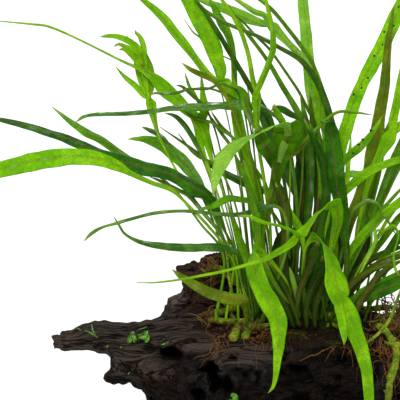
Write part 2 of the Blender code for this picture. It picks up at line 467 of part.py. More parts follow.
def frond_runs(frond, nudge, sway):
    """The stalk and prongs as smooth runs of (x, y, z, width), the tips set back and the middle swayed."""
    across, up, foot_depth = to_sheet(foot_place(frond.foot))
    stalk = [(across, up, 1.8)] + list(frond.stalk)
    reach = max(curve_length([Vector((p[0], p[1], 0)) for p in stalk + prong]) for prong in frond.prongs)
    runs = []
    fork_depth = None
    for prong in frond.prongs:
        whole = stalk + list(prong)
        depths = with_depths(whole, foot_depth, frond.tip_depth)
        if fork_depth is None:
            fork_depth = depths[:len(stalk)]
        else:
            drift = fork_depth[-1] - depths[len(stalk) - 1]
            depths = fork_depth + [d + drift * (1 - i / len(prong))
                                   for i, d in enumerate(depths[len(stalk):], 1)]
        travelled = 0.0
        points = []
        for index, (point, depth) in enumerate(zip(whole, depths)):
            if index:
                travelled += math.hypot(point[0] - whole[index - 1][0], point[1] - whole[index - 1][1])
            share = min(travelled / reach, 1.0)
            set_back = nudge * share ** 0.8 + sway * math.sin(math.pi * share)
            place = from_sheet(point[0], point[1], depth + set_back)
            points.append(Vector((*place, point[2])))
        runs.append(points)
    trunk = runs[0][:len(stalk)]
    prongs = [points[len(stalk) - 1:] for points in runs]
    return trunk, prongs


def blade_frames(run, roll, across=None):
    """Along a run, every few millimetres: its place, half its width across the blade, and the normal.

    The blade is carried along without twisting, and drawn round to face the eye where it can.
    """
    stations = smooth_curve(run, max(4, round(curve_length(run) / FRAME_STEP)))
    frames = []
    for index, point in enumerate(stations):
        place = point.to_3d()
        ahead = stations[min(index + 1, len(stations) - 1)].to_3d()
        behind = stations[max(index - 1, 0)].to_3d()
        along = (ahead - behind).normalized()
        facing = along.cross((place - EYE).normalized())
        if across is None:
            across = facing.normalized()
        across = (across - along * across.dot(along)).normalized()
        if facing.dot(across) < 0:
            facing = -facing
        across = across.lerp(facing, FACING_PULL * facing.dot(across) ** 2).normalized()
        turn = Matrix.Rotation(roll, 3, along)
        wide = turn @ across
        shown = max(abs(wide.dot(facing.normalized())), LEAST_SHOWN)
        frames.append((place, wide * (0.5 * max(point.w, LEAST_WIDTH) / shown), turn @ across.cross(along)))
    return frames, across


def thinned_out(frames, spacing):
    """The frames nearest to even steps of about the given spacing, both ends kept."""
    length = sum((b[0] - a[0]).length for a, b in zip(frames, frames[1:]))
    steps = max(3, round(length / spacing))
    return [frames[round(step * (len(frames) - 1) / steps)] for step in range(steps + 1)]


def extrude_row(bm, row, places):
    """Extrude a row of vertices' edges once and put the new row at the given places."""
    edges = [bm.edges.get((a, b)) for a, b in zip(row, row[1:])]
    made = bmesh.ops.extrude_edge_only(bm, edges=edges)["geom"]
    fresh = {item for item in made if isinstance(item, bmesh.types.BMVert)}
    new_row = []
    for vert, place in zip(row, places):
        new = next(other for other in (edge.other_vert(vert) for edge in vert.link_edges) if other in fresh)
        new.co = place * MM
        new_row.append(new)
    return new_row


def row_places(frame, columns):
    """A row of places across the blade, its margins raised a little above its midrib."""
    place, half, normal = frame
    places = []
    for column in range(columns):
        side = 2 * column / (columns - 1) - 1
        places.append(place + half * side + normal * (half.length * CHANNEL * abs(side)))
    return places


def frond_sheet(frond, nudge, sway):
    """The frond as an open sheet: a row of vertices at its foot, extruded up the stalk and each prong."""
    roll = math.radians(frond.roll)
    trunk, prongs = frond_runs(frond, nudge, sway)
    columns = 2 * len(prongs) + 1
    frames, across = blade_frames(trunk, roll)
    bm = bmesh.new()
    frames = thinned_out(frames, STALK_SPACING)
    row = [bm.verts.new(place * MM) for place in row_places(frames[0], columns)]
    for a, b in zip(row, row[1:]):
        bm.edges.new((a, b))
    for frame in frames[1:]:
        row = extrude_row(bm, row, row_places(frame, columns))
    for index, prong in enumerate(prongs):
        frames, _ = blade_frames(prong, roll, across)
        prong_row = row[2 * index:2 * index + 3]
        for frame in thinned_out(frames, BLADE_SPACING)[1:]:
            prong_row = extrude_row(bm, prong_row, row_places(frame, 3))
    bmesh.ops.recalc_face_normals(bm, faces=bm.faces)
    return bm


def settings():
    """Ways to set a frond's tips and its middle back or forward (mm), the smallest first."""
    tries = [(3.0 * nudge, 4.0 * sway) for nudge in range(-14, 15) for sway in range(-4, 5)]
    return sorted(tries, key=lambda pair: (abs(pair[0]) + 1.5 * abs(pair[1]), pair))


def build_fronds(materials, collection, obstacles):
    """Set each frond clear of the wood, the rhizomes and the fronds before it."""
    for frond in FRONDS:
        for nudge, sway in settings():
            sheet = frond_sheet(frond, nudge, sway)
            near = both_sides_tree(sheet, BLADE_THICKNESS + 2 * GAP)
            if not any(near.overlap(other) for other in obstacles):
                break
            sheet.free()
        else:
            raise ValueError(f"no room for {frond.name}")
        obstacles.append(both_sides_tree(sheet, BLADE_THICKNESS))
        mesh = bpy.data.meshes.new(frond.name)
        sheet.to_mesh(mesh)
        sheet.free()
        mesh.shade_smooth()
        made = add_object(frond.name, mesh, materials[frond.tint], collection)
        solid = made.modifiers.new("thickness", "SOLIDIFY")
        solid.thickness = BLADE_THICKNESS * MM
        solid.offset = 0.0


def both_sides_tree(bm, thickness):
    """A search tree of a sheet thickened evenly to both sides."""
    places = []
    faces = []
    for side in (-0.5, 0.5):
        start = len(places)
        bm.normal_update()
        bm.verts.index_update()
        places += [vert.co + vert.normal * (side * thickness * MM) for vert in bm.verts]
        faces += [[start + vert.index for vert in face.verts] for face in bm.faces]
    half = len(places) // 2
    for edge in bm.edges:
        if edge.is_boundary:
            a, b = edge.verts[0].index, edge.verts[1].index
            faces.append([a, b, b + half, a + half])
    return BVHTree.FromPolygons(places, faces)


# Driftwood

def wood_grain(place):
    """Relief of the weathered surface at a place (mm): long ridges along X over broad swells."""
    swell = noise.noise(Vector((place.x * 0.030, place.y * 0.045, place.z * 0.045)))
    ridge = noise.noise(Vector((place.x * 0.035, place.y * 0.13, place.z * 0.13)) + Vector((7, 3, 1)))
    return 4.5 * swell + 4.0 * ridge


def sculpt_wood(bm):
    """Work the relief and the hollows into the rough block, and level the bed under the clump."""
    bm.normal_update()
    moves = []
    for vert in bm.verts:
        place = vert.co / MM
        push = wood_grain(place)
        for hollow, radius, depth in WOOD_HOLLOWS:
            share = (place - Vector(hollow)).length / radius
            if share < 1:
                push -= depth * (1 - share * share) ** 2
        moves.append(vert.normal * push)
    for vert, move in zip(bm.verts, moves):
        place = vert.co / MM + move
        in_bed = -62 < place.x < 54 and place.y < 26
        if in_bed and BED_HEIGHT < place.z < BED_HEIGHT + 9 and not (place.x < -8 and place.y > 4):
            place.z = BED_HEIGHT
        vert.co = place * MM


def rough_wood():
    """The blocks run together into one skin, as a mesh."""
    bm = bmesh.new()
    for place, size, turn_y, turn_z in WOOD_BLOCKS:
        turn = Matrix.Rotation(math.radians(turn_z), 4, "Z") @ Matrix.Rotation(math.radians(turn_y), 4, "Y")
        matrix = Matrix.Translation(Vector(place) * MM) @ turn @ Matrix.Diagonal((*(Vector(size) * MM), 1.0))
        cube = bmesh.ops.create_cube(bm, size=1.0, matrix=matrix)["verts"]
        edges = {edge for vert in cube for edge in vert.link_edges}
        bmesh.ops.bevel(bm, geom=list(edges), offset=min(size) * 0.24 * MM, affect="EDGES", segments=2,
                        profile=0.5, material=-1)
    mesh = bpy.data.meshes.new("driftwood rough")
    bm.to_mesh(mesh)
    bm.free()
    rough = bpy.data.objects.new("driftwood_rough", mesh)
    bpy.context.scene.collection.objects.link(rough)
    skin = rough.modifiers.new("one skin", "REMESH")
    skin.mode = "VOXEL"
    skin.voxel_size = WOOD_VOXEL * MM
    calm = rough.modifiers.new("worn", "SMOOTH")
    calm.iterations = 3
    calm.factor = 0.6
    worn = bpy.data.meshes.new_from_object(rough.evaluated_get(bpy.context.evaluated_depsgraph_get()))
    bm = bmesh.new()
    bm.from_mesh(worn)
    sculpt_wood(bm)
    bm.to_mesh(worn)
    bm.free()
    bpy.data.objects.remove(rough)
    return worn


def thinned(mesh, faces):
    """The mesh with its triangles brought down to about the given number."""
    coarse = bpy.data.objects.new("driftwood_coarse", mesh)
    bpy.context.scene.collection.objects.link(coarse)
    fewer = coarse.modifiers.new("fewer faces", "DECIMATE")
    fewer.ratio = faces / (2 * len(mesh.polygons))
    fewer.use_collapse_triangulate = True
    result = bpy.data.meshes.new_from_object(coarse.evaluated_get(bpy.context.evaluated_depsgraph_get()))
    bpy.data.objects.remove(coarse)
    bm = bmesh.new()
    bm.from_mesh(result)
    return bm


def keep_side(bm, point, direction):
    """Cut a closed mesh by a plane, keep what lies ahead of it, and close the cut."""
    bmesh.ops.bisect_plane(bm, geom=list(bm.verts) + list(bm.edges) + list(bm.faces), dist=1e-6,
                           plane_co=Vector(point) * MM, plane_no=direction, clear_inner=True)
    open_edges = [edge for edge in bm.edges if edge.is_boundary]
    bmesh.ops.holes_fill(bm, edges=open_edges, sides=0)


def keep_largest(bm):
    """Drop every loose island but the one with the most faces."""
    left = set(bm.faces)
    islands = []
    while left:
        island = set()
        queue = [next(iter(left))]
        while queue:
            face = queue.pop()
            if face in island:
                continue
            island.add(face)
            queue += [near for edge in face.edges for near in edge.link_faces if near not in island]
        left -= island
        islands.append(island)
    islands.sort(key=len)
    for island in islands[:-1]:
        bmesh.ops.delete(bm, geom=list(island), context="FACES")


def build_wood(material, collection):
    """Split the wood at its forks, a hair's breadth apart, and return the whole for the mat to lie on."""
    whole = thinned(rough_wood(), WOOD_FACES)
    keep_side(whole, (0, 0, 0), (0, 0, 1))
    trunk = whole.copy()
    pieces = {}
    for name, point, direction in WOOD_FORKS:
        direction = Vector(direction).normalized()
        branch = trunk.copy()
        keep_side(branch, Vector(point) + direction * GAP / 2, direction)
        keep_side(trunk, Vector(point) - direction * GAP / 2, -direction)
        pieces[name] = branch
    pieces["driftwood_trunk"] = trunk
    for name, bm in pieces.items():
        keep_largest(bm)
        bmesh.ops.triangulate(bm, faces=bm.faces)
        bmesh.ops.recalc_face_normals(bm, faces=bm.faces)
        mesh = bpy.data.meshes.new(name)
        bm.to_mesh(mesh)
        add_object(name, mesh, material, collection)
    trees = [BVHTree.FromBMesh(bm) for bm in pieces.values()]
    return whole, trees


def build_root_mat(wood, material, collection):
    """The felt of roots: the wood's own upper surface under the clump, lifted and given a thickness."""
    bm = wood.copy()
    bm.normal_update()
    outside = []
    for face in bm.faces:
        centre = face.calc_center_median() / MM
        in_patch = ((centre.x - 4) / 56) ** 2 + ((centre.y + 12) / 33) ** 2 < 1
        if not (in_patch and face.normal.z > 0.45 and centre.z > 50 and not (centre.x < -8 and centre.y > 2)):
            outside.append(face)
    bmesh.ops.delete(bm, geom=outside, context="FACES")
    pinched = True
    while pinched:
        pinched = [vert for vert in bm.verts if sum(edge.is_boundary for edge in vert.link_edges) > 2]
        around = {face for vert in pinched for face in vert.link_faces}
        bmesh.ops.delete(bm, geom=list(around), context="FACES")
    keep_largest(bm)
    for _ in range(2):
        spikes = [face for face in bm.faces if sum(edge.is_boundary for edge in face.edges) > 1]
        bmesh.ops.delete(bm, geom=spikes, context="FACES")
    keep_largest(bm)
    lone = [vert for vert in bm.verts if not vert.link_faces]
    bmesh.ops.delete(bm, geom=lone, context="VERTS")
    bm.normal_update()
    for vert in bm.verts:
        vert.co += vert.normal * (1.5 * GAP * MM)
    mesh = bpy.data.meshes.new("root_mat")
    bm.to_mesh(mesh)
    mat = add_object("root_mat", mesh, material, collection)
    felt = mat.modifiers.new("felt", "SOLIDIFY")
    felt.thickness = MAT_THICKNESS * MM
    felt.offset = 1.0
    return mat


def evaluated_tree(made):
    finished = made.evaluated_get(bpy.context.evaluated_depsgraph_get())
    bm = bmesh.new()
    bm.from_mesh(bpy.data.meshes.new_from_object(finished))
    tree = BVHTree.FromBMesh(bm)
    bm.free()
    return tree


def main():
    clear_scene()
    collection = bpy.data.collections.new("Java fern on driftwood")
    bpy.context.scene.collection.children.link(collection)
    wood_material = plain_material("dark wet driftwood", (0.035, 0.025, 0.020), 0.45)
    root_material = plain_material("brown roots", (0.16, 0.08, 0.03), 0.8)
    rhizome_material = plain_material("yellow-green rhizome", (0.22, 0.32, 0.03), 0.5)
    leaf_materials = {tint: plain_material(f"{tint} frond", colour, 0.4)
                      for tint, colour in LEAF_COLOURS.items()}
    whole, obstacles = build_wood(wood_material, collection)
    obstacles.append(evaluated_tree(build_root_mat(whole, root_material, collection)))
    for name in RHIZOMES:
        obstacles.append(evaluated_tree(build_rhizome(name, rhizome_material, collection)))
    build_fronds(leaf_materials, collection, obstacles)


main()
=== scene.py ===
"""Java fern grown onto a piece of driftwood: fronds, rhizomes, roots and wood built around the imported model.

Fronds are laid out on an upright picture sheet, seen a little from above from the front. Each one takes
the setting of its own solid, and is then drawn out finely along the same line.
"""

import math
from collections import namedtuple

import bmesh
import bpy
from mathutils import Matrix, Vector, kdtree, noise
from mathutils.bvhtree import BVHTree


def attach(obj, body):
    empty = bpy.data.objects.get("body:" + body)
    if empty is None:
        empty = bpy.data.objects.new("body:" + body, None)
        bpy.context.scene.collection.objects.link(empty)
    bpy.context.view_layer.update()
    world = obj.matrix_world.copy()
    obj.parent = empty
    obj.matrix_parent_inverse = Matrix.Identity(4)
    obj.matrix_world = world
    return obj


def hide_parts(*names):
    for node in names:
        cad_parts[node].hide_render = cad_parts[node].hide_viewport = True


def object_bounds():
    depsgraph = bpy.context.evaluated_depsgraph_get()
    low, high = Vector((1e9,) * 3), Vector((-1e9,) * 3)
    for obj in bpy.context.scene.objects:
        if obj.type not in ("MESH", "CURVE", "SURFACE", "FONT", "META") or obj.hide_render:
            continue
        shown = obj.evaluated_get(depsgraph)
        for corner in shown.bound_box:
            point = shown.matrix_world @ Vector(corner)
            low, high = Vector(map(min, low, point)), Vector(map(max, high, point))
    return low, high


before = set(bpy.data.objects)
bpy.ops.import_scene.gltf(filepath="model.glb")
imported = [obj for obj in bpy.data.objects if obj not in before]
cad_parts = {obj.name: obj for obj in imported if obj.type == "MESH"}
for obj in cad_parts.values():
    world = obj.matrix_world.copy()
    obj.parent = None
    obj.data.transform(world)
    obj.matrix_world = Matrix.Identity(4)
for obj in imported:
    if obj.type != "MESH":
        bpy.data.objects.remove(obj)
CAD_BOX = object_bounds()

MM = 0.001

# The picture sheet: where the eye stands, how far it looks down, and the point that it looks at.
EYE_DISTANCE = 900.0
EYE_TILT = math.radians(9.0)
SHEET_CENTRE = Vector((-55.0, 0.0, 122.5))
SIGHT = Vector((0.0, math.cos(EYE_TILT), -math.sin(EYE_TILT)))
SHEET_UP = Vector((0.0, math.sin(EYE_TILT), math.cos(EYE_TILT)))
EYE = SHEET_CENTRE - EYE_DISTANCE * SIGHT
LENS = 162.0
SENSOR = 36.0

# The line of each frond, as its solid has it, in mm
LEAST_WIDTH = 0.9
STALK_SPACING = 21.0
BLADE_SPACING = 15.0
FRAME_STEP = 1.5
FACING_PULL = 0.12
CHANNEL = 0.12
LEAST_SHOWN = 0.62
FOOT_LIFT = 0.9
RHIZOME_RADIUS = 1.7
RHIZOME_STEP = 7.0
MATCH = 0.8

# Fine blades, in mm
BLADE_COLUMNS = {1: 12, 2: 8, 3: 6}
BLADE_THICKNESS = 0.26
RIB_THICKNESS = 0.62
RIB_SPREAD = 0.42
STALK_HALF = 1.15
MOST_THICKNESS = 2.2
FINEST_HALF = 0.16
FORK_EASE = 7.0
RIB_EASE = 13.0

# Creeping stems, end to end: points in mm.
RHIZOMES = {
    "rhizome_front": [(-40, -37, 63.5), (-34, -32, 63.5), (-25, -27, 63.5), (-10, -23, 63.5),
                      (6, -21, 63.5), (22, -22, 63.5), (36, -25, 63.5), (46, -30, 63.5)],
    "rhizome_middle": [(-51, -13, 64), (-42, -13, 63.5), (-30, -11, 63), (-14, -5, 63), (4, -3, 63),
                       (22, -3, 63), (38, -2, 63), (50, 2, 63)],
    "rhizome_back": [(-51, 3.5, 89), (-44, 2, 86.5), (-37, 1.5, 81), (-30, 3, 74), (-22, 7, 67),
                     (-10, 10, 64.5), (8, 14, 64), (26, 15, 64), (44, 16, 64)],
    "rhizome_right": [(31, -33, 66), (35, -41, 64), (38, -50, 60), (37, -60, 53), (34, -66, 44),
                      (33, -67, 36)],
}

Frond = namedtuple("Frond", "name foot tip_depth roll stalk prongs tint")

# Each frond: its name, its foot (rhizome and place along X), how far its tip lies behind the sheet, how
# far its blade is rolled away from the eye (degrees), its stalk up to the fork, and its prongs. Points
# are (across, up, width) on the sheet in mm, from the foot to the tip; a fourth value is a depth.
FRONDS = [
    Frond("frond_front_drooper", ("rhizome_front", -12), -66, 18, [
        (-10, 77.5, 1.8, -22), (-19, 91.5, 2.5, -34), (-26, 97, 4.5, -43), (-29.3, 95, 7, -50)], [[
            (-27.5, 88.5, 8, -56), (-24, 78.5, 8.5, -60), (-20, 71, 9), (-16, 63.5, 8.5), (-15.5, 56.5, 7),
            (-15.5, 50, 5.5), (-16.3, 42.5, 3.8), (-17, 35, 2.5), (-18.5, 29, 1.5),
            (-21, 26, 0.6)]], "bright"),
    Frond("frond_front_drooper_lobed", ("rhizome_front", 0), -78, -16, [
        (-3, 77.5, 1.8, -20), (-3.5, 91.5, 1.8, -30), (-1, 101, 2.4, -38), (4, 103, 5.5, -46),
        (9, 97, 8, -55), (11.3, 88.5, 8.8, -60), (13, 78.5, 10.5, -65)], [
            [(14, 72, 4.5), (15.5, 63.5, 4), (17, 55, 3), (17, 50, 1.2)],
            [(18.8, 67, 7.5), (22, 57.5, 7.5), (25.5, 47.5, 6.5), (28, 38.5, 5.5), (29, 30, 5),
             (29.5, 22.5, 4.5), (29, 14, 3), (27.5, 7, 0.8)]], "bright"),
    Frond("frond_front_folded", ("rhizome_front", 7.5), -58, 24, [
        (6, 77, 1.8, -14), (9, 92, 2.2, -16), (12.5, 105, 4, -22), (14, 114, 5.5, -28),
        (12.5, 119.5, 6.5, -35), (6, 117.5, 7, -41), (0, 110.5, 7, -46), (-5, 104, 6.5, -49)], [
            [(-10, 107.5, 1.6), (-15, 109.3, 2), (-22.5, 111, 3), (-30, 114, 2.2), (-36, 114.5, 0.6)],
            [(-12, 98.5, 4.5), (-22.5, 93, 2.2), (-32.5, 89.8, 1.5), (-42.5, 87, 1.3), (-55, 84.5, 1.2),
             (-65, 82.7, 1), (-77.5, 81.2, 0.8), (-86.8, 81.3, 0.4)]], "bright"),
    Frond("frond_front_broad", ("rhizome_front", 11), -40, -25, [
        (17.5, 80, 2, -20), (18, 97.5, 3.5, -28), (16, 112, 6, -34), (15, 121, 7), (13.5, 130, 7.8)], [[
            (12.5, 140, 8), (11.5, 150, 7.5, -42), (10, 159.5, 5.5, -45), (7.5, 161.5, 3, -50),
            (6, 156.5, 0.8, -53)]],
        "dark"),
    Frond("frond_left_long_pale", ("rhizome_middle", -36), -24, 30, [
        (-37, 88, 1.8), (-44, 101, 1.8), (-50, 108.5, 2), (-55, 114, 2), (-60, 119, 2), (-65, 124, 2)], [[
            (-70, 128, 2.2), (-80, 131.5, 2.2), (-90, 136, 2.8), (-95, 139, 5), (-105, 143, 7),
            (-115, 144.3, 7.5), (-125, 144, 9), (-135, 142.5, 9), (-145, 140.5, 8.5), (-155, 138, 8),
            (-164, 136.8, 5), (-172, 136, 0.8)]],
        "bright"),
    Frond("frond_left_long_dark", ("rhizome_middle", -30), 12, 38, [
        (-31, 84, 1.8), (-39, 100, 1.8), (-44, 110, 2.2), (-50, 123.5, 5), (-57.5, 128.5, 7.5)], [[
            (-62.5, 131.5, 7), (-70, 135.5, 6.5), (-80, 138, 7), (-95, 142, 7), (-105, 146, 5),
            (-120, 152.5, 4.5), (-130, 156, 4), (-137.5, 158.5, 3.5), (-145, 160.5, 3),
            (-155, 162.8, 2.2), (-168, 165.5, 0.8)]], "dark"),
    Frond("frond_top_forked_broad", ("rhizome_back", -22), 8, -20, [
        (-18, 90, 1.8), (-22.5, 112.5, 2), (-29, 137.5, 2.6), (-33.5, 155, 3.6), (-36.5, 166.5, 4.2),
        (-40, 174, 5), (-43, 181, 7)], [
            [(-47, 182.5, 2.6), (-52.5, 187, 3.5), (-57.5, 193.5, 3.5), (-62.5, 200, 4.5),
             (-67.5, 206, 4.5), (-72.5, 212.5, 4.5), (-77.5, 217.5, 3.8), (-83.5, 222.5, 2.5),
             (-91, 229.5, 0.6)],
            [(-44.5, 187.5, 5.5), (-46.5, 192.5, 7), (-49, 200, 8.5), (-52.5, 207.5, 8.5), (-56, 213.5, 8),
             (-60, 220, 6.5), (-65, 226.5, 3.2), (-69, 231.5, 0.8)]], "bright"),
    Frond("frond_centre_three_pronged", ("rhizome_front", -18), 6, 16, [
        (-22, 80, 1.6, -22), (-24, 94.5, 1.8, -24), (-23, 107.5, 2.2, -24), (-21, 116.5, 3.5),
        (-19, 125, 4.5), (-17, 133.5, 5.5), (-15.5, 141, 8)], [
            [(-20, 148.5, 3.6), (-24, 156, 3.3), (-29, 162.5, 3.6), (-32, 170, 4.4), (-33, 175, 4.2),
             (-35.5, 178.5, 2.4), (-40, 179.5, 0.6)],
            [(-13.5, 148, 3.4, -22), (-11, 155, 3.2, -26), (-12, 159.3, 3.2, -32), (-18, 159.5, 4.4, -38),
             (-26, 155.5, 6, -43), (-32.5, 152, 6.6, -47), (-40, 146, 6.8, -51), (-44.5, 140, 5.6, -53),
             (-47.3, 132.5, 3.6, -55), (-48.5, 124.5, 0.8, -56)],
            [(-10.5, 144.5, 3.2), (-3.5, 150.5, 3), (5, 159.5, 2), (13.5, 166.3, 1.6), (22.5, 166.3, 1.4),
             (31, 165, 0.6)]], "bright"),
    Frond("frond_right_dotted", ("rhizome_back", 12), 34, -30, [
        (13, 84, 1.8), (15, 112.5, 2.2), (15, 132.5, 3.6), (15.5, 147.5, 5.2)], [[
            (17.5, 157.5, 6.5), (21, 168.5, 6.5), (25, 178.5, 6.5), (28, 185, 7), (32.5, 193.5, 7.5),
            (36, 200, 7.5), (38.5, 205, 7), (44, 216.5, 7.5), (49, 226.5, 5.5),
            (53, 235.5, 0.8)]], "bright"),
    Frond("frond_left_forked_crest", ("rhizome_middle", -42), 16, 30, [
        (-38, 92, 1.5), (-44, 104.5, 1.5), (-52.5, 116, 1.5), (-60, 126, 1.5), (-67.5, 138.5, 1.6),
        (-73, 149, 1.8), (-77, 159, 2.5), (-79.5, 171, 5.5)], [
            [(-83, 175, 2.8), (-87, 179.5, 3), (-92.5, 184, 2), (-97, 189, 0.8)],
            [(-83.5, 181.5, 4.2), (-85.3, 189, 4.5), (-86.5, 196, 4), (-91.5, 204.5, 0.9)],
            [(-79, 180.5, 3.2), (-79.5, 188.5, 2.6), (-82, 195, 1.8), (-86, 204, 0.8)]], "bright"),
    Frond("frond_left_tall_forked", ("rhizome_back", -34), 22, 32, [
        (-31, 92, 1.5), (-36, 108, 1.5), (-42, 123, 1.6), (-48, 139, 2), (-51.5, 152, 4.2),
        (-54, 159.5, 8)], [
            [(-60, 166.5, 5), (-66, 172.5, 6.5), (-72.5, 178.5, 7.5), (-79, 184.5, 4.5), (-86, 188.5, 2),
             (-95, 192.5, 1.2), (-115, 202.5, 1), (-130, 209, 1.2), (-140, 210.5, 1), (-162, 212.5, 0.4)],
            [(-52.5, 167.5, 4.5), (-53.5, 175.5, 2.8), (-54.5, 186, 0.6)]], "bright"),
    Frond("frond_left_flat_wet", ("rhizome_middle", -10), 4, 60, [
        (-7, 84, 2), (-6, 110, 2), (-8, 135, 2), (-11, 152, 2), (-15, 162, 2.2)], [[
            (-20, 166.5, 2.5), (-27.5, 169.8, 4.6), (-42.5, 170, 5.2), (-60, 169.2, 4.4), (-70, 168.3, 3),
            (-80, 167, 2.6), (-90, 166, 2.6), (-105, 165.6, 2.4), (-112.5, 164.5, 1.8),
            (-117, 161.5, 0.8)]], "wet"),
    Frond("frond_left_low_yellow", ("rhizome_front", -32), -30, 26, [
        (-32.5, 71.5, 5, -34)], [[
            (-40, 73, 6), (-50, 76, 5.4), (-57.5, 80, 4.6), (-64, 84, 3.2), (-69, 87.8, 0.8)]], "yellow"),
    Frond("frond_left_low_dark", ("rhizome_middle", -20), -22, 42, [
        (-17, 80, 1.8), (-24, 90.5, 2), (-32, 95, 2.6)], [[
            (-42.5, 98.3, 3.6), (-50, 99, 4), (-60, 98.8, 4), (-72.5, 99.5, 3.5), (-82.5, 101, 2.5),
            (-88.5, 103, 1.4), (-93, 106, 1), (-95.5, 110, 0.9), (-98, 114, 0.5)]], "wet"),
    Frond("frond_left_wiry", ("rhizome_front", -25), -28, 62, [
        (-15, 86, 1.8, -24), (-11, 102, 1.8), (-12.5, 114.5, 1.8), (-17, 119.3, 2)], [[
            (-24, 118.8, 3), (-32.5, 116, 3), (-40, 115.5, 2.6), (-55, 116.5, 1.6), (-65, 117, 1.2),
            (-77.5, 116, 1.5), (-90, 113, 1.8), (-97, 110.8, 1.2), (-103.5, 109, 1), (-109, 106, 1.5),
            (-113, 102, 0.7)]], "wet"),
    Frond("frond_left_wavy", ("rhizome_middle", -14), -14, 50, [
        (-10, 90, 1.8), (-13, 106, 1.8), (-19.5, 117, 2)], [[
            (-27.5, 121.5, 2.6), (-35, 123, 3), (-41, 123.5, 3.4), (-46, 121, 3.4), (-50, 119, 2.2),
            (-55.5, 118, 0.9)]], "mid"),
    Frond("frond_left_middle", ("rhizome_middle", -47), 30, 42, [
        (-43, 94, 1.5), (-55, 111, 1.5), (-67.5, 127.5, 1.5), (-80, 137.5, 2)], [[
            (-91, 143.5, 3), (-98, 148, 3.6), (-105, 153, 4), (-112, 156.5, 4), (-120, 162, 2.6),
            (-129, 169, 0.7)]],
        "mid"),
    Frond("frond_left_slim_high", ("rhizome_back", -44), 18, 50, [
        (-47, 108, 1.2), (-54, 124, 1.2), (-62, 137.5, 1.3), (-69, 148, 1.5)], [[
            (-72.5, 152.5, 2.2), (-76, 155.5, 2.6), (-80, 157.5, 2.2), (-84, 159, 0.6)]], "wet"),
    Frond("frond_left_slim_dark", ("rhizome_middle", -4), 20, 45, [
        (-8, 92.5, 1.8), (-13, 114, 2), (-21, 126, 3)], [[
            (-30, 130, 4), (-37.5, 133.5, 4), (-47, 138.5, 2.8), (-55, 145, 1.6), (-62.5, 150.5, 1.2),
            (-75, 159, 0.6)]], "dark"),
    Frond("frond_top_left_small", ("rhizome_back", -28), -12, 40, [
        (-21, 92, 1.5), (-25, 120, 1.5), (-29, 140, 1.5), (-35, 157.5, 1.5)], [[
            (-41, 172.5, 1.6), (-46.5, 180.5, 2), (-50, 183.3, 2.4), (-55, 185.5, 2.6), (-60, 188, 2),
            (-64, 191, 0.7)]],
        "yellow"),
    Frond("frond_top_strap", ("rhizome_back", -16), 30, -32, [
        (-12, 84, 1.8), (-16, 104, 1.8), (-21.5, 128.5, 1.8), (-24.5, 134, 2), (-30, 143, 2.2),
        (-35, 157.5, 3), (-37.5, 167, 4)], [[
            (-37.8, 177.5, 3.2), (-38, 190, 2.9), (-39, 198, 3.2), (-41, 205, 4), (-44, 210.5, 4.6),
            (-48, 218.5, 2.8), (-51, 225, 0.8)]], "mid"),
    Frond("frond_top_forked_slim", ("rhizome_middle", -24), -16, 35, [
        (-20, 90, 1.8), (-20, 110, 2), (-23, 132.5, 2.2), (-25.3, 147, 2.3), (-26.5, 163, 3),
        (-26.5, 173.5, 5)], [
            [(-28.3, 182, 2.4), (-30.5, 194, 2.1), (-34, 205.5, 2), (-38.5, 214.5, 1.9), (-44, 222.5, 1.5),
             (-48, 228.5, 0.6)],
            [(-24.5, 181, 3), (-22, 187, 3.1), (-19.8, 193, 3), (-18.3, 199, 3.1), (-19, 209, 2.2),
             (-22, 222, 1.6), (-24, 229.5, 0.6)]], "bright"),
    Frond("frond_top_forked_blue", ("rhizome_back", 3), 40, -22, [
        (4, 80, 1.8), (7.5, 107.5, 2), (9.5, 137.5, 2.2), (9, 165, 2.4), (4, 183, 3), (-1, 191, 3.6),
        (-6, 196, 3.6), (-12, 202, 3.8), (-18, 208.5, 6)], [
            [(-24.5, 211, 4), (-33, 214, 6), (-41, 217.5, 5), (-51, 221, 3), (-61, 224.5, 0.6)],
            [(-22.5, 214.5, 3), (-27.5, 216.5, 3), (-32, 219.5, 2.5), (-38, 223.5, 1.6),
             (-43, 227.5, 0.6)]], "pale"),
    Frond("frond_top_fringed", ("rhizome_middle", 12), 14, 48, [
        (9, 87.5, 1.8), (13, 117.5, 2), (13.5, 142.5, 2.8), (11.5, 159, 3.2)], [[
            (8.5, 170, 3.6), (4, 181, 3.2), (-1, 188.5, 2.6), (-6, 193.5, 2.2), (-15, 198.7, 2.1),
            (-25, 204, 1.9), (-35, 208, 1.6), (-45, 212.5, 1.6), (-58.5, 221.5, 1.1),
            (-67, 227, 0.5)]], "dark"),
    Frond("frond_top_upright", ("rhizome_back", 8), 52, 30, [
        (5, 84, 1.8), (4, 104, 2.4), (3.5, 124, 3.2)], [[
            (3.5, 144, 4.2), (2.6, 162.5, 5), (1.2, 172.5, 5.2), (0, 182.5, 6), (-0.6, 192.5, 6),
            (-2, 207.5, 6), (-2.8, 215, 5.6), (-3.6, 224, 5), (-4, 233.5, 3.6), (-3.5, 243, 0.8)]], "pale"),
    Frond("frond_top_long_slim", ("rhizome_back", -4), 16, -55, [
        (2, 82, 1.8), (6, 107.5, 1.8), (9, 142.5, 1.8), (8, 167.5, 2), (5.5, 178, 2.1)], [[
            (1, 191, 2.1), (-5, 200, 2.2), (-11.5, 208.5, 2.2), (-19, 217.5, 2), (-25, 222.5, 1.6),
            (-32, 228.5, 0.6)]],
        "mid"),
    Frond("frond_top_long_glossy", ("rhizome_back", -10), 6, 55, [
        (-7, 86, 1.8), (-10, 112.5, 1.8), (-14, 137.5, 2), (-19, 157.5, 2.2)], [[
            (-24, 168.5, 2.3), (-28.5, 177, 2.6), (-34, 186.5, 2.7), (-40, 196.5, 2.6), (-46, 206.5, 2.5),
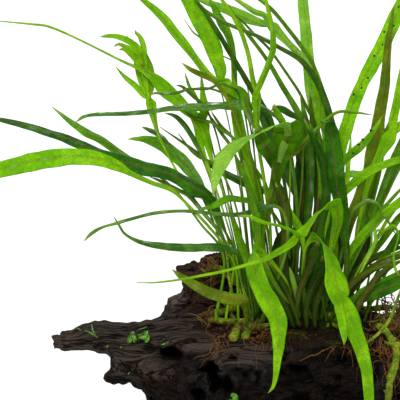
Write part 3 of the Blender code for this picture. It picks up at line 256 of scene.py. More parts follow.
            (-52.5, 217, 2.1), (-56.5, 221.5, 1.6), (-62, 228.5, 0.6)]], "dark"),
    Frond("frond_top_middle_slim", ("rhizome_middle", 4), 26, -50, [
        (-1, 90, 1.8), (0, 112, 1.8), (0, 130, 2), (-1, 150, 2.4)], [[
            (-4, 161.5, 3), (-8, 169.5, 3.1), (-14, 179.3, 2.6), (-20, 190, 2.1), (-26, 198.7, 1.7),
            (-32, 206.5, 1.6), (-36, 212.5, 1.3), (-41, 220.5, 0.5)]], "mid"),
    Frond("frond_centre_dark_upright", ("rhizome_middle", 0), -24, -38, [
        (-2, 77, 2), (2, 92, 3.4)], [[
            (6, 110, 4.2), (8, 125, 4.6), (6.5, 140, 4.6), (2, 152.5, 3.4), (-3, 163, 0.8)]], "dark"),
    Frond("frond_centre_dark_right", ("rhizome_front", 3.5), -30, 32, [
        (1.5, 76, 3.4, -24)], [[
            (4, 84, 5.2), (7, 93, 5.2), (9.5, 101, 5), (12, 112, 4.4), (13, 122.5, 3.2),
            (12, 133, 0.8)]], "dark"),
    Frond("frond_centre_dark_left", ("rhizome_front", -6), -30, -30, [
        (-12.5, 73, 2.2, -22), (-18, 81, 2.6, -25)], [[
            (-22.5, 90, 2.8), (-25.5, 99, 2.8), (-26.5, 110, 3.2), (-29, 121, 3.2), (-32.5, 134, 2.6),
            (-37, 145, 0.8)]], "mid"),
    Frond("frond_centre_tall_dark", ("rhizome_middle", -27), 34, 38, [
        (-13, 80, 1.8), (-8.5, 96, 3)], [[
            (-6.5, 110, 3.8), (-6, 127.5, 4.6), (-4, 147.5, 4.6), (-5.5, 163.5, 3.4),
            (-9, 174, 0.8)]], "dark"),
    Frond("frond_centre_short", ("rhizome_front", -3), -20, -25, [
        (-3.5, 84, 1.8), (-3, 97, 2.2)], [[
            (-5.5, 108.5, 3.6), (-11, 115.5, 5), (-14.5, 121.5, 4.6), (-16.5, 127.5, 2.8),
            (-18, 134, 0.8)]], "bright"),
    Frond("frond_right_tall_yellow", ("rhizome_middle", 20), 24, 25, [
        (15, 80, 1.8), (17.5, 97.5, 2.6)], [[
            (21, 114, 5), (26, 125, 7.2), (29.5, 135, 7), (31.5, 145, 7.2), (33.5, 155, 7.3),
            (35, 165, 6.2), (37.5, 180, 5.2), (38.5, 192.5, 4.2), (39.2, 201, 3.5), (40.5, 210, 2.2),
            (42, 220, 0.8)]], "yellow"),
    Frond("frond_right_forked", ("rhizome_middle", 26), 0, -28, [
        (20, 82, 1.8), (23, 103, 2), (27, 123, 2.6), (31.5, 138, 3.4), (36, 147, 5), (39, 153, 7.5)], [
            [(41.5, 162, 4.4), (43.2, 171, 4), (44.7, 182, 2.5), (46, 192.5, 0.6)],
            [(45, 159.5, 4), (52.5, 165.5, 4.2), (62.5, 170.5, 2.8), (71, 171.5, 0.6)]], "bright"),
    Frond("frond_right_dotted_short", ("rhizome_middle", 8), -34, 35, [
        (7, 82, 1.8), (10, 102.5, 1.9), (12.5, 125, 2.2)], [[
            (15.5, 139, 3.2), (20, 144.5, 3.8), (24, 148, 4.2), (28, 152, 3.4), (33.5, 159.5, 1.8),
            (36, 164.5, 0.6)]],
        "bright"),
    Frond("frond_right_arching", ("rhizome_middle", 16), -40, -45, [
        (9, 84, 1.8), (8, 105, 2), (11.5, 119, 3)], [[
            (17, 126.5, 3.6), (21, 130.3, 3.8), (25, 134, 4.2), (30, 137.3, 4.2), (36, 140, 3.8),
            (45, 143, 3.4), (55, 144.5, 2.6), (65, 143.5, 0.6)]], "bright"),
    Frond("frond_right_low_arching", ("rhizome_front", 18), -44, -38, [
        (17, 78, 1.8)], [[
            (18.5, 92, 2.6), (21.5, 99, 3.6), (27.5, 106, 4.6), (34, 112.8, 4.2), (38, 116.5, 3.8),
            (46, 122.5, 4.2), (58, 130.5, 4.6), (71, 134.5, 4), (86, 133.5, 0.6)]], "bright"),
    Frond("frond_right_slim", ("rhizome_middle", 23), -46, -50, [
        (21, 78.5, 2)], [[
            (27.5, 90, 2.6), (34, 99.5, 2.8), (41.5, 110, 3.2), (47, 116, 3.6), (56, 122.5, 3.6),
            (68, 127.5, 3), (81, 127, 0.6)]], "mid"),
    Frond("frond_right_two_low", ("rhizome_front", 14.5), -30, -42, [
        (19, 76, 1.8), (28, 86, 1.8), (37, 93, 2)], [[
            (46, 96.5, 2.4), (60, 101, 4.6), (75, 102, 5.6), (90, 98, 4.6), (104, 90, 0.8)]], "mid"),
    Frond("frond_right_low_broad", ("rhizome_front", 22), -54, -30, [
        (25, 72, 4, -34)], [[
            (33, 76, 6), (42.5, 80.5, 6.2), (52, 85.5, 5.4), (64, 91.5, 3.4), (76, 96, 0.8)]], "dark"),
    Frond("frond_far_right_long", ("rhizome_back", 24.5), 22, -36, [
        (26, 84, 2), (36, 108, 2.2), (53, 132, 3)], [[
            (70, 148, 5.5), (92, 158, 8), (112, 160.5, 8.5), (132, 155.5, 7), (150, 146, 0.8)]], "bright"),
    Frond("frond_far_right_dark", ("rhizome_middle", 29.5), -20, -40, [
        (31, 81, 1.8), (44, 103, 2.2), (60, 122, 3.4)], [[
            (78, 135, 6), (100, 140.5, 7.5), (122, 137, 6.5), (141, 127, 0.8)]], "dark"),
    Frond("frond_far_right_low", ("rhizome_front", 26), -62, -34, [
        (34, 76, 1.8), (52, 91, 2.6)], [[
            (70, 99.5, 6), (88, 99.5, 7.4), (106, 92, 6.4), (121, 79, 0.8)]], "bright"),
    Frond("frond_far_right_upright", ("rhizome_back", 20.5), 38, 30, [
        (25, 95, 1.8), (40, 130, 2.8)], [[
            (54, 160, 5), (64, 186, 7), (69, 205, 6.4), (70, 219, 4), (69, 231, 0.8)]], "mid"),
    Frond("frond_far_right_forked", ("rhizome_middle", 33.5), 18, -30, [
        (38, 86, 1.8), (58, 112, 2.4), (77, 132, 6)], [
            [(90, 148, 4.8), (101, 164, 4.4), (108, 178, 2.6), (112, 188, 0.6)],
            [(97, 139.5, 5), (118, 146, 4.4), (139, 144, 0.6)]], "bright"),
    Frond("frond_back_left", ("rhizome_back", -39), 78, 36, [
        (-40, 93, 1.8, 6), (-43, 103, 1.8, 14), (-51, 122, 3)], [[
            (-61, 139, 6.5), (-72, 149, 6.5), (-82, 153, 4), (-91, 153, 0.8)]], "mid"),
    Frond("frond_back_middle", ("rhizome_back", 16), 74, -40, [
        (8, 90, 1.8), (-4, 118, 3)], [[
            (-14, 143, 6.5), (-21, 160, 7), (-26, 172, 4.5), (-31, 181, 0.8)]], "dark"),
    Frond("frond_back_arching", ("rhizome_back", 28.5), 92, 20, [
        (30, 88, 1.8, 32), (30, 114, 3, 50)], [[
            (27, 131, 6.5, 66), (22, 137, 7.5, 78), (17, 134, 6, 88), (13, 124, 0.8, 96)]], "bright"),
    Frond("frond_back_low", ("rhizome_back", 32.5), 72, -36, [
        (38, 78, 1.8, 34), (54, 91, 3, 46)], [[
            (70, 95, 6.5), (84, 89, 5.6), (96, 76, 0.8)]], "mid"),
]



# The frond's line

def smooth_curve(points, count, before=None):
    """Points evenly spaced along a smooth curve through the given ones, with whatever else they carry."""
    lead = points[0] * 2 - points[1] if before is None else before
    ends = [lead] + points + [points[-1] * 2 - points[-2]]
    fine = []
    for before, start, end, after in zip(ends, ends[1:], ends[2:], ends[3:]):
        for step in range(12):
            t = step / 12
            fine.append(0.5 * (2 * start + (end - before) * t
                               + (2 * before - 5 * start + 4 * end - after) * t * t
                               + (3 * start - before - 3 * end + after) * t ** 3))
    fine.append(points[-1])
    travelled = [0.0]
    for a, b in zip(fine, fine[1:]):
        travelled.append(travelled[-1] + (b - a).to_3d().length)
    result = []
    index = 0
    for step in range(count + 1):
        target = travelled[-1] * step / count
        while index < len(fine) - 2 and travelled[index + 1] < target:
            index += 1
        span = max(travelled[index + 1] - travelled[index], 1e-9)
        result.append(fine[index].lerp(fine[index + 1], (target - travelled[index]) / span))
    return result


def curve_length(points):
    return sum((b - a).to_3d().length for a, b in zip(points, points[1:]))


def to_sheet(place):
    """Where a point in space is seen on the picture sheet, and its depth behind it."""
    away = place - SHEET_CENTRE
    depth = away.dot(SIGHT)
    spread = (EYE_DISTANCE + depth) / EYE_DISTANCE
    return away.x / spread + SHEET_CENTRE.x, away.dot(SHEET_UP) / spread + SHEET_CENTRE.z, depth


def from_sheet(across, up, depth):
    spread = (EYE_DISTANCE + depth) / EYE_DISTANCE
    return (SHEET_CENTRE + (across - SHEET_CENTRE.x) * spread * Vector((1, 0, 0))
            + (up - SHEET_CENTRE.z) * spread * SHEET_UP + depth * SIGHT)


def rhizome_path(name):
    points = [Vector(point) for point in RHIZOMES[name]]
    return smooth_curve(points, max(6, round(curve_length(points) / RHIZOME_STEP)))


def foot_place(foot):
    """The top of a rhizome at a place along X, where a stalk leaves it."""
    name, across = foot
    path = rhizome_path(name)
    for a, b in zip(path, path[1:]):
        if min(a.x, b.x) <= across <= max(a.x, b.x):
            along = (b - a).normalized()
            lift = (Vector((0, 0, 1)) - along * along.z).normalized()
            return a.lerp(b, (across - a.x) / (b.x - a.x)) + lift * (RHIZOME_RADIUS + FOOT_LIFT)
    raise ValueError(f"no {name} at {across}")


def with_depths(points, foot_depth, tip_depth):
    """Fill in the depths that a run of (across, up, width[, depth]) points leaves out."""
    known = [(0, foot_depth)] + [(i, p[3]) for i, p in enumerate(points) if len(p) > 3 and i > 0]
    if known[-1][0] != len(points) - 1:
        known.append((len(points) - 1, tip_depth))
    travelled = [0.0]
    for a, b in zip(points, points[1:]):
        travelled.append(travelled[-1] + math.hypot(b[0] - a[0], b[1] - a[1]))
    depths = []
    for (first, near), (last, far) in zip(known, known[1:]):
        for i in range(first, last):
            share = (travelled[i] - travelled[first]) / max(travelled[last] - travelled[first], 1e-9)
            depths.append(near + (far - near) * share)
    depths.append(known[-1][1])
    return depths


def frond_runs(frond, nudge, sway):
    """The stalk and prongs as runs of (x, y, z, width), the tips set back and the middle swayed."""
    across, up, foot_depth = to_sheet(foot_place(frond.foot))
    stalk = [(across, up, 1.8)] + list(frond.stalk)
    reach = max(curve_length([Vector((p[0], p[1], 0)) for p in stalk + prong]) for prong in frond.prongs)
    runs = []
    fork_depth = None
    for prong in frond.prongs:
        whole = stalk + list(prong)
        depths = with_depths(whole, foot_depth, frond.tip_depth)
        if fork_depth is None:
            fork_depth = depths[:len(stalk)]
        else:
            drift = fork_depth[-1] - depths[len(stalk) - 1]
            depths = fork_depth + [d + drift * (1 - i / len(prong))
                                   for i, d in enumerate(depths[len(stalk):], 1)]
        travelled = 0.0
        points = []
        for index, (point, depth) in enumerate(zip(whole, depths)):
            if index:
                travelled += math.hypot(point[0] - whole[index - 1][0], point[1] - whole[index - 1][1])
            share = min(travelled / reach, 1.0)
            set_back = nudge * share ** 0.8 + sway * math.sin(math.pi * share)
            place = from_sheet(point[0], point[1], depth + set_back)
            points.append(Vector((*place, point[2])))
        runs.append(points)
    trunk = runs[0][:len(stalk)]
    prongs = [points[len(stalk) - 1:] for points in runs]
    return trunk, prongs


def blade_frames(run, roll, across=None, before=None, least=LEAST_WIDTH):
    """Along a run, every few millimetres: its place, half its width across the blade, and the normal.

    The blade is carried along without twisting, and drawn round to face the eye where it can.
    """
    stations = smooth_curve(run, max(4, round(curve_length(run) / FRAME_STEP)), before)
    frames = []
    for index, point in enumerate(stations):
        place = point.to_3d()
        ahead = stations[min(index + 1, len(stations) - 1)].to_3d()
        behind = stations[max(index - 1, 0)].to_3d()
        along = (ahead - behind).normalized()
        facing = along.cross((place - EYE).normalized())
        if across is None:
            across = facing.normalized()
        across = (across - along * across.dot(along)).normalized()
        if facing.dot(across) < 0:
            facing = -facing
        across = across.lerp(facing, FACING_PULL * facing.dot(across) ** 2).normalized()
        turn = Matrix.Rotation(roll, 3, along)
        wide = turn @ across
        shown = max(abs(wide.dot(facing.normalized())), LEAST_SHOWN)
        frames.append((place, wide * (0.5 * max(point.w, least) / shown), turn @ across.cross(along)))
    return frames, across


def thinned_out(frames, spacing):
    """The frames nearest to even steps of about the given spacing, both ends kept."""
    length = sum((b[0] - a[0]).length for a, b in zip(frames, frames[1:]))
    steps = max(3, round(length / spacing))
    return [frames[round(step * (len(frames) - 1) / steps)] for step in range(steps + 1)]


def settings():
    """Ways to set a frond's tips and its middle back or forward (mm), the smallest first."""
    tries = [(3.0 * nudge, 4.0 * sway) for nudge in range(-14, 15) for sway in range(-4, 5)]
    return sorted(tries, key=lambda pair: (abs(pair[0]) + 1.5 * abs(pair[1]), pair))


def solid_setting(frond):
    """The setting at which the frond's line runs through its own solid."""
    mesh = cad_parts[frond.name].data
    tree = kdtree.KDTree(len(mesh.vertices))
    for index, vert in enumerate(mesh.vertices):
        tree.insert(vert.co / MM, index)
    tree.balance()
    roll = math.radians(frond.roll)
    best = None
    for nudge, sway in settings():
        trunk, prongs = frond_runs(frond, nudge, sway)
        if max(tree.find(run[-1].to_3d())[2] for run in prongs) > MATCH:
            continue
        frames, _ = blade_frames(trunk, roll)
        misses = [tree.find(place)[2] for place, _, _ in thinned_out(frames, STALK_SPACING)]
        if best is None or sum(misses) < best[0]:
            best = (sum(misses), nudge, sway)
        if max(misses) < MATCH:
            break
    if best is None:
        raise ValueError(f"{frond.name} doesn't follow its solid")
    return best[1], best[2]


def smooth_step(value, low, high):
    t = min(max((value - low) / (high - low), 0.0), 1.0)
    return t * t * (3 - 2 * t)


# Fine fronds

class BladeMesh:
    """A frond drawn as fine strips, joined where it forks, with its thickness and its two UV maps."""

    def __init__(self, name, seed):
        self.name = name
        self.seed = Vector((seed * 7.31, seed * 3.17, seed * 1.93))
        self.bm = bmesh.new()
        self.blade_map = self.bm.loops.layers.uv.new("blade")
        self.edge_map = self.bm.loops.layers.uv.new("edge")
        self.weights = self.bm.verts.layers.deform.verify()

    def ruffle(self, side, half, along, calm):
        """How far the margin waves off the blade's plane, and how much wider or narrower it runs."""
        if half < STALK_HALF:
            return 0.0, 1.0
        at = Vector((along * 0.09, 3.0 * math.copysign(1, side), 0.0)) + self.seed
        wave = noise.noise(at * 1.0) * 1.3 + 0.5 * noise.noise(at * 2.3)
        width = 1.0 + 0.10 * noise.noise(at * 1.7 + Vector((5, 5, 5)))
        size = min(half - STALK_HALF, 3.0) * 0.26 * calm
        return wave * size * side * side, width

    def strip(self, frames, columns, rib_start, lengths, tip_distance, joint=None, calm=1.0):
        """One strip of blade. A joint is the row of places that its first row grows out of."""
        rows = len(frames) - 1
        made = bmesh.ops.create_grid(self.bm, x_segments=columns, y_segments=rows, size=1.0)
        grid = {}
        for vert in made["verts"]:
            key = (round((vert.co.x + 1) / 2 * columns), round((vert.co.y + 1) / 2 * rows))
            grid[vert] = key
        places = []
        for row, (place, wide, normal) in enumerate(frames):
            half = wide.length
            travelled = lengths[row] - lengths[0]
            rib = rib_start * (1 - smooth_step(travelled, 0.0, RIB_EASE))
            ease = smooth_step(travelled, 0.0, FORK_EASE) if joint else 1.0
            spread = 1.0
            if ease < 1:
                across = (joint[-1] - joint[0]).normalized()
                along = (frames[min(row + 1, rows)][0] - frames[max(row - 1, 0)][0]).normalized()
                spread += (1 / max(across.cross(along).length, 0.55) - 1) * smooth_step(travelled, 0.0, 2.5)
            line = []
            for column in range(columns + 1):
                side = 2 * column / columns - 1
                lift, width = self.ruffle(side, half, lengths[row], calm)
                offset = normal * (half * CHANNEL * abs(side) ** 1.3 + lift)
                spot = place + wide * (side * width) + offset
                if ease < 1:
                    carried = place + (joint[column] - frames[0][0]) * spread
                    spot = carried.lerp(spot, ease)
                line.append((spot, (side - rib) * half, half * (1 - abs(side)), half))
            places.append(line)
        stiff = {}
        for vert, (column, row) in grid.items():
            spot, from_rib, from_edge, half = places[row][column]
            vert.co = spot * MM
            side = 2 * column / columns - 1
            stalk = smooth_step(half, STALK_HALF + 0.5, STALK_HALF - 0.1)
            fade = min(1.0, tip_distance(lengths[row]) / 30)
            blade = BLADE_THICKNESS + RIB_THICKNESS * fade * math.exp(-(from_rib / RIB_SPREAD) ** 2)
            round_stalk = 1.5 * half * math.sqrt(max(1 - side * side, 0.02))
            thickness = blade + (round_stalk - blade) * stalk
            vert[self.weights][0] = min(thickness / MOST_THICKNESS, 1.0)
            stiff[vert] = (from_rib, lengths[row], from_edge, tip_distance(lengths[row]))
        for vert in made["verts"]:
            for loop in vert.link_loops:
                from_rib, along, from_edge, from_tip = stiff[vert]
                loop[self.blade_map].uv = (from_rib, along)
                loop[self.edge_map].uv = (from_edge, from_tip)
        return [line[0] for line in places[-1]]

    def finish(self, material):
        """Weld the strips, give the blade its thickness and make it an object."""
        bmesh.ops.remove_doubles(self.bm, verts=self.bm.verts, dist=0.004 * MM)
        bmesh.ops.recalc_face_normals(self.bm, faces=self.bm.faces)
        mesh = bpy.data.meshes.new(self.name)
        self.bm.to_mesh(mesh)
        self.bm.free()
        mesh.shade_smooth()
        mesh.materials.append(material)
        made = bpy.data.objects.new(self.name, mesh)
        bpy.context.scene.collection.objects.link(made)
        made.vertex_groups.new(name="thickness")
        solid = made.modifiers.new("thickness", "SOLIDIFY")
        solid.thickness = MOST_THICKNESS * MM
        solid.offset = 0.0
        solid.vertex_group = "thickness"
        solid.thickness_vertex_group = 0.0
        return made


def row_lengths(frames, start):
    lengths = [start]
    for a, b in zip(frames, frames[1:]):
        lengths.append(lengths[-1] + (b[0] - a[0]).length)
    return lengths


def slimmed(run):
    """The run with its bare stalk drawn as slim as the real one."""
    slim = [0.68 + 0.32 * smooth_step(point.w, 1.9, 3.2) for point in run]
    return [Vector((*point.to_3d(), point.w * share)) for point, share in zip(run, slim)]


def tapered(run):
    """The run with its last point drawn out to a fine tip."""
    return run[:-1] + [Vector((*run[-1].to_3d(), min(run[-1].w, 2 * FINEST_HALF)))]


# How deep a stalk's foot goes into the stem or the felt that it grows from, mm.
FOOT_SUNK = 3.0

# The three-pronged frond's web, spread between its prongs: (across, up, width) up along two ribs.
WEB_RIBS = [
    [(-16.5, 138, 5), (-19, 144.5, 7.5), (-22, 149, 8), (-24.5, 153, 6.5), (-27, 158, 2)],
    [(-16, 138, 5), (-15, 144, 9.5), (-12.8, 149, 13), (-11, 153.5, 15), (-10.5, 157, 15), (-12, 160, 12)],
]
WEBBED = "frond_centre_three_pronged"
WEB_BEHIND = 0.8
ARCH_WIDER = 1.2


def frond_web(blade, run, roll):
    """The web of the three-pronged frond, just behind the prong that arches forward."""
    for points in WEB_RIBS:
        line = []
        for across, up, width in points:
            depths = [to_sheet(p.to_3d()) for p in run]
            near = min(depths, key=lambda at: math.hypot(at[0] - across, at[1] - up))
            line.append(Vector((*from_sheet(across, up, near[2] + WEB_BEHIND), width)))
        frames, _ = blade_frames(line, roll, least=2 * FINEST_HALF)
        lengths = row_lengths(frames, 0.0)
        blade.strip(frames, 8, 0.0, lengths, lambda at, end=lengths[-1]: end - at + 30)


def fine_frond(frond, setting, seed, material, calm=1.0, arch_material=None):
    roll = math.radians(frond.roll)
    trunk, prongs = frond_runs(frond, *setting)
    trunk = slimmed(trunk)
    sunk = Vector((*(trunk[0].to_3d() - Vector((0, 0, FOOT_SUNK))), trunk[0].w))
    trunk.insert(0, sunk)
    count = len(prongs)
    columns = BLADE_COLUMNS[count]
    blade = BladeMesh(frond.name, seed)
    if count == 1:
        whole = trunk + tapered(prongs[0])[1:]
        frames, _ = blade_frames(whole, roll, least=2 * FINEST_HALF)
        lengths = row_lengths(frames, 0.0)
        blade.strip(frames, columns, 0.0, lengths, lambda at: lengths[-1] - at, calm=calm)
        return blade.finish(material)
    frames, across = blade_frames(trunk, roll, least=2 * FINEST_HALF)
    lengths = row_lengths(frames, 0.0)
    prong_length = max(curve_length(prong) for prong in prongs)
    last = blade.strip(frames, columns * count, 0.0, lengths,
                       lambda at: lengths[-1] - at + prong_length, calm=calm)
    place, wide, _ = frames[-1]
    heading = (frames[-1][0] - frames[-3][0]).normalized()
    arch = BladeMesh(f"{frond.name}_arch", seed + 0.5) if arch_material else None
    if arch:
        frond_web(blade, prongs[1], roll)
    for index, prong in enumerate(prongs):
        sheet = blade
        if arch and index == 1:
            sheet = arch
            prong = [Vector((*p.to_3d(), p.w * ARCH_WIDER)) for p in prong]
        middle = (2 * index + 1) / count - 1
        start = Vector((*(place + wide * middle), 2 * wide.length / count))
        step = (prong[1] - prong[0]).to_3d().length
        before = Vector((*(start.to_3d() - heading * step), start.w))
        run = [start] + tapered(prong)[1:]
        frames_here, _ = blade_frames(run, roll, across, before, least=2 * FINEST_HALF)
        here = row_lengths(frames_here, lengths[-1])
        joint = last[columns * index:columns * (index + 1) + 1]
        rib_start = -middle * count
        sheet.strip(frames_here, columns, rib_start, here, lambda at: here[-1] - at, joint, calm)
    if arch:
        made = arch.finish(arch_material)
        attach(made, "root")
    return blade.finish(material)


# Shader maths

class Value:
    """A node's output. Arithmetic on it adds Math nodes."""

    def __init__(self, paint, socket):
        self.paint = paint
        self.socket = socket

    def math(self, operation, *others):
        settings = {"operation": operation}
        return self.paint.node("ShaderNodeMath", settings, dict(enumerate((self, *others))))

    def __add__(self, other):
        return self.math("ADD", other)

    __radd__ = __add__

    def __sub__(self, other):
        return self.math("SUBTRACT", other)

    def __rsub__(self, other):
        return self.paint.node("ShaderNodeMath", {"operation": "SUBTRACT"}, {0: other, 1: self})

    def __mul__(self, other):
        return self.math("MULTIPLY", other)

    __rmul__ = __mul__

    def __truediv__(self, other):
        return self.math("DIVIDE", other)

    def __pow__(self, other):
        return self.math("POWER", other)

    def __abs__(self):
        return self.math("ABSOLUTE")

    def rise(self, low, high):
        """From 0 at low to 1 at high, eased at both ends. A low above the high makes it fall."""
        if low > high:
            return 1 - self.rise(high, low)
        values = {"Value": self, "From Min": low, "From Max": high}
        return self.paint.node("ShaderNodeMapRange", {"interpolation_type": "SMOOTHSTEP"}, values)


class Paint:
    """A material being built from nodes."""

    def __init__(self, name):
        self.material = bpy.data.materials.new(name)
        self.material.use_nodes = True
        self.tree = self.material.node_tree
        self.tree.nodes.clear()

    def node(self, kind, settings=None, values=None, output=0):
        """Add a node, set what it is first, then fill its inputs with numbers, colours or links."""
        made = self.tree.nodes.new(kind)
        for key, setting in (settings or {}).items():
            if key == "stops":
                self.set_stops(made.color_ramp, setting)
            else:
                setattr(made, key, setting)
        for key, value in (values or {}).items():
            socket = made.inputs[key]
            if isinstance(value, Value):
                self.tree.links.new(value.socket, socket)
            else:
                socket.default_value = value
        return Value(self, made.outputs[output]) if made.outputs else None

    @staticmethod
    def set_stops(ramp, stops):
        while len(ramp.elements) < len(stops):
            ramp.elements.new(1.0)
        for element, (position, colour) in zip(ramp.elements, stops):
            element.position = position
            element.color = (*colour, 1.0)

    def mix(self, factor, first, second, blend="MIX"):
        """Mix two colours, each a triple or a link."""
        values = {"Factor": factor}
        for socket, colour in ((6, first), (7, second)):
            values[socket] = colour if isinstance(colour, Value) else (*colour, 1.0)
        return self.node("ShaderNodeMix", {"data_type": "RGBA", "blend_type": blend, "clamp_factor": True},
                         values, output=2)

    def place(self, scale=(1, 1, 1), turn=(0, 0, 0)):
        """Object coordinates in millimetres, stretched by a scale."""
        coordinates = self.node("ShaderNodeTexCoord", output=3)
        return self.node("ShaderNodeMapping", {"vector_type": "POINT"},
                         {"Vector": coordinates, "Rotation": turn, "Scale": [1000 * s for s in scale]})

    def uv(self, name):
        return self.node("ShaderNodeUVMap", {"uv_map": name})

    def split(self, vector):
        made = self.tree.nodes.new("ShaderNodeSeparateXYZ")
        self.tree.links.new(vector.socket, made.inputs[0])
        return [Value(self, output) for output in made.outputs]

    def join(self, x, y, z=0.0):
        return self.node("ShaderNodeCombineXYZ", None, {"X": x, "Y": y, "Z": z})

    def noise(self, place, scale, detail=3.0, roughness=0.55, distortion=0.0):
        return self.node("ShaderNodeTexNoise", None, {"Vector": place, "Scale": scale, "Detail": detail,
                                                      "Roughness": roughness, "Distortion": distortion})

    def cells(self, place, scale, feature="DISTANCE_TO_EDGE", randomness=1.0):
        return self.node("ShaderNodeTexVoronoi", {"feature": feature},
                         {"Vector": place, "Scale": scale, "Randomness": randomness})

    def bump(self, height, strength, distance_mm, normal=None):
        values = {"Height": height, "Strength": strength, "Distance": distance_mm * MM}
        if normal:
            values["Normal"] = normal
        return self.node("ShaderNodeBump", None, values)

    def surface(self, base, roughness, normal, **own):
        """The Principled shader, with plain settings for the rest."""
        values = {"Base Color": base, "Roughness": roughness, "Normal": normal}
        values.update({key.replace("_", " "): value for key, value in own.items()})
        return self.node("ShaderNodeBsdfPrincipled", None, values)

    def finish(self, shader):
        self.node("ShaderNodeOutputMaterial", None, {"Surface": shader})
        return self.material


# Finishes

LEAF_TINTS = {
    # light part, dark part, light through the blade, share of light that passes, roughness, brown of rib
    "bright": ((0.29, 0.60, 0.005), (0.12, 0.35, 0.002), (0.44, 0.84, 0.008), 0.44, 0.46, 0.55),
    "yellow": ((0.17, 0.25, 0.004), (0.065, 0.13, 0.002), (0.28, 0.40, 0.005), 0.30, 0.46, 0.7),
    "mid": ((0.15, 0.42, 0.003), (0.055, 0.21, 0.001), (0.26, 0.62, 0.005), 0.36, 0.40, 0.8),
    "dark": ((0.040, 0.185, 0.003), (0.012, 0.075, 0.001), (0.09, 0.34, 0.004), 0.22, 0.34, 0.6),
    "pale": ((0.34, 0.62, 0.07), (0.18, 0.43, 0.03), (0.48, 0.80, 0.10), 0.40, 0.42, 0.3),
    "wet": ((0.11, 0.28, 0.03), (0.020, 0.115, 0.008), (0.14, 0.40, 0.02), 0.20, 0.28, 0.3),
    # deep: blades inside the clump, their own dark green darkened further as painted shade.
    "deep": ((0.024, 0.080, 0.001), (0.006, 0.026, 0.0005), (0.06, 0.18, 0.002), 0.18, 0.40, 1.0),
    "olive": ((0.062, 0.120, 0.002), (0.022, 0.050, 0.001), (0.12, 0.23, 0.003), 0.20, 0.42, 1.0),
    "ribbed": ((0.14, 0.36, 0.003), (0.055, 0.20, 0.001), (0.24, 0.56, 0.005), 0.34, 0.42, 1.9),
}
RIB_BROWN = (0.115, 0.055, 0.018)
VEIN_SHADE = 0.62
TIP_BROWN = (0.30, 0.19, 0.06)


def leaf_finish(name, tint):
    """A blade: netted veins, a brown dotted midrib, darker margins, a scorched tip, and painted shade low in
    the clump's middle.
    """
    light, dark, through, passing, gloss, brown = LEAF_TINTS[tint]
    paint = Paint(name)
    place = paint.place()
    from_rib, along, _ = paint.split(paint.uv("blade"))
    from_edge, from_tip, _ = paint.split(paint.uv("edge"))
    off_rib = abs(from_rib)
    half = off_rib + from_edge
    blade = half.rise(1.0, 1.7)
    broad = paint.noise(place, 0.11, 3.0)
    fine = paint.noise(place, 0.9, 4.0, 0.65)
    colour = paint.mix(broad.rise(0.38, 0.66), dark, light)
    colour = paint.mix(fine.rise(0.35, 0.75) * 0.45, colour, light)
    net_place = paint.join(off_rib * 0.36 + 0.0, along * 0.42 - off_rib * 0.30, from_rib * 0.0)
    veins = paint.cells(net_place, 1.0).rise(0.11, 0.015)
    side_veins = (along * 0.20 - off_rib * 0.22).math("FRACT")
    side_veins = abs(side_veins - 0.5).rise(0.10, 0.02) * off_rib.rise(0.3, 0.9)
    net = (veins * 0.8).math("MAXIMUM", side_veins * 0.9) * blade
    colour = paint.mix(net * (fine.rise(0.25, 0.7) * 0.6 + 0.2), colour, [c * VEIN_SHADE for c in dark])
    dots = paint.noise(place, 2.1, 2.0, 0.5).rise(0.42, 0.58)
    rib = off_rib.rise(0.60, 0.20) * from_tip.rise(3.0, 22.0)
    stipple = off_rib.rise(1.7, 0.5) * dots * broad.rise(0.36, 0.52) * from_tip.rise(6.0, 30.0) * blade
    colour = paint.mix(stipple * 0.6 * brown, colour, RIB_BROWN)
    colour = paint.mix(rib * (dots * 0.70 + 0.25) * (0.15 + 0.85 * blade) * brown, colour, RIB_BROWN)
    specks = paint.noise(place, 1.25, 2.0, 0.6).rise(0.66, 0.74)
    colour = paint.mix(specks * 0.55, colour, RIB_BROWN)
    stalk = 1 - blade
    colour = paint.mix(stalk * 0.35, colour, (0.13, 0.20, 0.004))
    colour = paint.mix(from_edge.rise(0.32, 0.06) * blade * 0.45, colour, dark)
    colour = paint.mix(from_tip.rise(3.5, 0.8) * broad.rise(0.42, 0.60), colour, TIP_BROWN)
    x, y, z = paint.split(place)
    # Painted shade: blades low in the middle of the clump are darkened and let less light through, where the
    # blades above shade them.
    shaded = z.rise(98, 66) * y.rise(-44, -36) * x.rise(-38, -26) * x.rise(50, 36)
    colour = paint.mix(shaded * 0.72, colour, (0.016, 0.045, 0.003))
    wet = paint.noise(place, 0.16, 2.0, 0.5).rise(0.52, 0.66)
    roughness = gloss + 0.14 * fine
    pucker = paint.noise(paint.join(off_rib * 0.9, along * 0.55, 0.0), 1.0, 2.0, 0.5)
    raised = net * 0.6 + rib * 0.9 + fine * 0.35
    normal = paint.bump(pucker, 0.55, 0.55)
    normal = paint.bump(raised, 0.45, 0.14, normal)
    film = wet * (1.0 if tint == "wet" else 0.30) * (1 - shaded)
    skin = paint.surface(colour, roughness, normal, Specular_IOR_Level=0.05,
                         Coat_Weight=film, Coat_Roughness=0.18)
    glow = paint.node("ShaderNodeBsdfTranslucent", None, {"Color": (*through, 1.0), "Normal": normal})
    factor = (passing * (1 - 0.55 * rib) * (1 - 0.35 * net) * (0.5 + 0.5 * blade)
              * (1 - 0.8 * shaded))
    return paint.finish(paint.node("ShaderNodeMixShader", None, {0: factor, 1: skin, 2: glow}))


